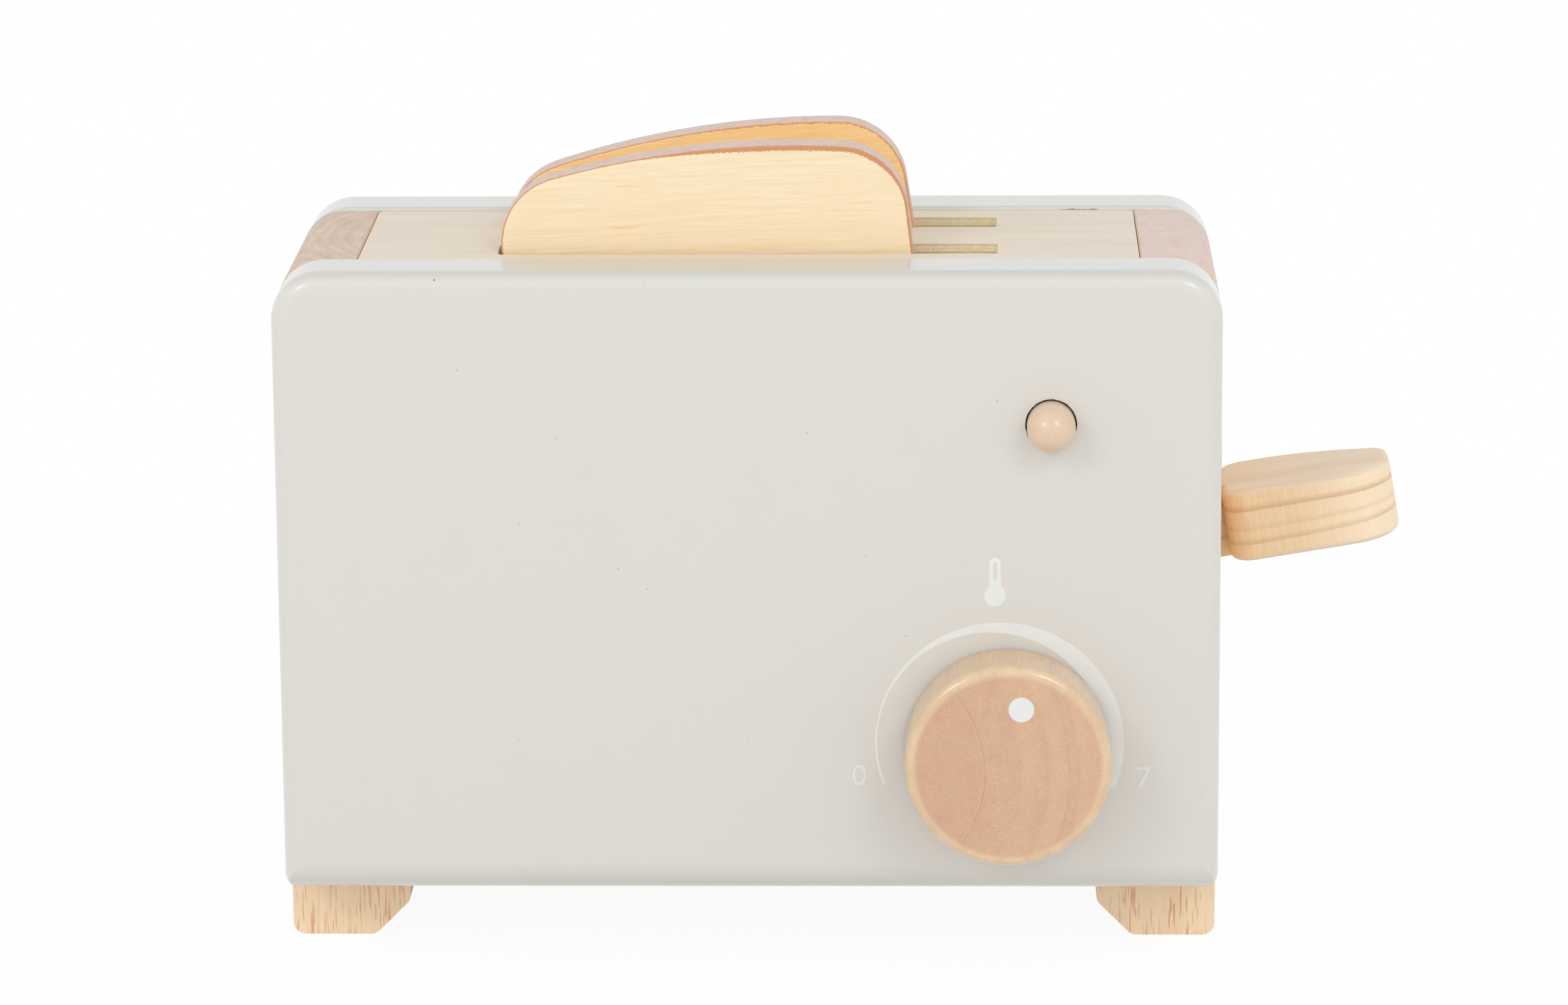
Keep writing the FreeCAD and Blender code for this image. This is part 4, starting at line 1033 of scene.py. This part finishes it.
def toast_finish(name, node, tilt, pale, deep, glow_line, bleed):
    board = Finish(name, {"Specular IOR Level": 0.25})
    lean = math.radians(tilt)
    along = board.along((math.cos(lean), 0, math.sin(lean)))
    depth = board.along((0, 1, 0))
    rise = board.along((-math.sin(lean), 0, math.cos(lean)))
    rise = rise + board.cloud(board.gather(along / 40, rise / 25, depth / 9), 1.0) * 1.4
    fine = board.cloud(board.gather(along / 14, rise / 0.3, depth / 9), 3.0, 0.65)
    dashes = board.cloud(board.gather(along / 2.5, rise / 0.35, depth / 9), 2.0, 0.6)
    lines = board.cloud(board.gather(along / 45, rise / 1.2, depth / 9), 2.0)
    streak = board.cloud(board.gather(along / 16, rise / 0.9, depth / 9), 1.0)
    grain = board.step(fine, 0.36, 0.64) * 0.6 + board.step(lines, 0.4, 0.7) * 0.25
    face = board.mix(pale, deep, grain)
    face = board.mix(face, deep, board.step(dashes, 0.55, 0.75) * 0.5)
    face = board.mix(face, glow_line, board.step(streak, 0.69, 0.78) * 0.65)
    face = board.mix(face, DARK_FLECK, board.specks(9.0, 0.5) * 0.5)

    gap = board.node("Attribute", {"attribute_name": "from_edge"}, {}, "Fac")
    up = board.dot(board.facing, (0, 0, 1))
    low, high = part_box(node)
    across = (board.along((1, 0, 0)) - low.x / MM) / ((high.x - low.x) / MM)
    wide = board.step(across, 0.25, 0.6) * (1 - board.step(across, 0.84, 0.95))
    teeth = board.cloud(board.gather(along / 0.6, rise / 0.25, depth / 9), 3.0, 0.75)
    reach = 0.32 + wide * bleed + (teeth - 0.5) * (0.3 + wide * 0.9)
    run = 1 - board.step(gap - reach, -0.06, 0.08)
    stain = board.mix(STAIN_PALE, STAIN_DEEP, teeth)
    colour = board.mix(face, stain, run)
    # Painted sheen: the edge is given the paler, pinker crust colour, fully where it looks up and
    # three quarters on its sides.
    rolled = board.lumps((1.4, 0.8, 1.4), 3.0, 0.7)
    sheened_crust = board.mix(SHEENED_CRUST_PALE, SHEENED_CRUST_DEEP, board.step(rolled, 0.35, 0.7))
    crust_and_top_sheen = (1 - board.step(gap, 0.04, 0.2)) * (0.75 + board.step(up, 0.1, 0.5) * 0.25)
    colour = board.mix(colour, sheened_crust, crust_and_top_sheen)
    rough = 0.52 + fine * 0.12 + run * 0.12
    return board.end_with(colour, rough, fine * 0.6 + (1 - run) * 0.1 + rolled * run * 0.3, 0.025)


front_wood = toast_finish("front_toast_wood", "front_toast", tilt=2.2, pale=tint(254, 236, 204),
                          deep=tint(248, 221, 176), glow_line=tint(243, 199, 132), bleed=0.75)
back_wood = toast_finish("back_toast_wood", "back_toast", tilt=5.5, pale=tint(253, 219, 162),
                         deep=tint(244, 199, 131), glow_line=tint(240, 182, 108), bleed=0.1)
make_slice("front_slice", "front_toast", front_wood)
make_slice("back_slice", "back_toast", back_wood)

# %% [markdown]
# ## Printed marks
#
# White ink was pressed through a screen onto the front: an arc that grows thicker
# from 0 to 7, a thermometer, and a dot on the knob. Ink lies on the paint as a
# film, so each mark stands 0.04 mm proud and has an outline of its own. A real
# edge of ink trembles a little, and the outline does so too.

# %% Turn outlines into sheets of ink
INK = 0.04
TREMBLE = 0.022
CHANCE = random.Random(7)
INK_WHITE, INK_THIN, INK_BARE = tint(236, 238, 234), tint(229, 231, 227), tint(205, 200, 192)


def ink_finish(name):
    board = Finish(name, {"Specular IOR Level": 0.4})
    grainy = board.lumps(0.35, 2.0)
    colour = board.mix(INK_WHITE, INK_THIN, board.lumps(4, 1.0))
    colour = board.mix(colour, INK_BARE, board.step(grainy, 0.68, 0.8) * 0.5)
    return board.end_with(colour, 0.5 + grainy * 0.1, grainy, 0.01)


ink = ink_finish("white_ink")


def print_mark(name, loops, front, body):
    """A sheet of ink with the given outline, first the outer loop and then its holes."""
    def tremble():
        return CHANCE.uniform(-TREMBLE, TREMBLE)
    loops = [[(x + tremble(), z + tremble()) for x, z in loop] for loop in loops]
    flat = [(x, z) for loop in loops for x, z in loop]
    shape = bmesh.new()
    near = [shape.verts.new((x * MM, (front - INK) * MM, z * MM)) for x, z in flat]
    far = [shape.verts.new((x * MM, (front + INK) * MM, z * MM)) for x, z in flat]
    for corners in tessellate_polygon([[Vector((x, z, 0)) for x, z in loop] for loop in loops]):
        shape.faces.new([near[i] for i in corners])
        shape.faces.new([far[i] for i in reversed(corners)])
    start = 0
    for loop in loops:
        for i in range(len(loop)):
            a, b = start + i, start + (i + 1) % len(loop)
            shape.faces.new((near[a], near[b], far[b], far[a]))
        start += len(loop)
    bmesh.ops.recalc_face_normals(shape, faces=shape.faces)
    mesh = bpy.data.meshes.new(name)
    shape.to_mesh(mesh)
    shape.free()
    mesh.materials.append(ink)
    mark = add_object(name, mesh)
    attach(mark, body)
    print(name, "has", len(flat), "points")


def arc(x, z, radius, start, end, count):
    """Points on a circle, from one angle to another in degrees."""
    angles = [math.radians(start + (end - start) * i / (count - 1)) for i in range(count)]
    return [(x + radius * math.cos(a), z + radius * math.sin(a)) for a in angles]


print("a mark is a sheet of ink", 2 * INK, "mm thick, half of it proud of the paint")

# %% The arc and the thermometer
OUTER_X, OUTER_Z, OUTER = 47.9 + SHIFT_X, 42.9, 23.8
INNER_X, INNER_Z, INNER = 46.1 + SHIFT_X, 43.2, 21.57
OUTER_FROM, OUTER_TO = 200.6, -20.2
INNER_FROM, INNER_TO = -23.2, 202.9
ARC_POINTS = 150
TIP_STEPS, TIP_LENGTH = 9, 0.9

outer_side = arc(OUTER_X, OUTER_Z, OUTER, OUTER_FROM, OUTER_TO, ARC_POINTS)
inner_side = arc(INNER_X, INNER_Z, INNER, INNER_FROM, INNER_TO, ARC_POINTS)
tip_x = (outer_side[-1][0] + inner_side[0][0]) / 2
tip_z = (outer_side[-1][1] + inner_side[0][1]) / 2
half_tip = (outer_side[-1][0] - inner_side[0][0]) / 2
turns = [math.pi / 2 * i / TIP_STEPS for i in range(1, TIP_STEPS)]
blunt_end = [(tip_x + half_tip * math.cos(a) ** 0.6, tip_z - TIP_LENGTH * math.sin(a) ** 0.7)
             for a in turns]
blunt_end += [(2 * tip_x - x, z) for x, z in reversed(blunt_end)]
print_mark("print_arc", [outer_side + blunt_end + inner_side], FRONT, "casing")

GLASS_X, BULB_Z, BULB, STEM, STEM_TOP = 47.05 + SHIFT_X, 72.0, 2.1, 1.11, 79.44
SLOT_TOP, SLOT_FOOT, SLOT = 78.2, 75.45, 0.36
opening = math.degrees(math.acos(STEM / BULB))
bulb = arc(GLASS_X, BULB_Z, BULB, 180 - opening, 360 + opening, 48)
stem_end = arc(GLASS_X, STEM_TOP - STEM, STEM, 0, 180, 24)
slot = arc(GLASS_X, SLOT_TOP, SLOT, 0, 180, 10) + arc(GLASS_X, SLOT_FOOT, SLOT, 190, 350, 6)
print_mark("print_thermometer", [bulb + stem_end, slot], FRONT, "casing")

# %% The figures and the dot
def oval(x, z, wide, high, count, power=0.85):
    """Points of an oval with slightly flattened sides."""
    def bulge(value):
        return math.copysign(abs(value) ** power, value)
    angles = [2 * math.pi * i / count for i in range(count)]
    return [(x + wide * bulge(math.cos(a)), z + high * bulge(math.sin(a))) for a in angles]


ZERO_X, ZERO_Z = 21.06 + SHIFT_X, 36.55
zero_outside = oval(ZERO_X, ZERO_Z, 1.24, 1.98, 48)
zero_inside = oval(ZERO_X, ZERO_Z, 0.78, 1.5, 40)
print_mark("print_zero", [zero_outside, zero_inside], FRONT, "casing")

SEVEN_X = 74.18 + SHIFT_X
seven = [(0, 38.1), (2.56, 38.1), (2.56, 37.7), (0.95, 34.23), (0.3, 34.23), (1.9, 37.58), (0, 37.58)]
print_mark("print_seven", [[(SEVEN_X + x, z) for x, z in seven]], FRONT, "casing")

DOT_X, DOT_Z, DOT = 51.92 + SHIFT_X, 53.4, 2.42
print_mark("print_dot", [arc(DOT_X, DOT_Z, DOT, 0, 355, 72)], KNOB_FACE, "dial")
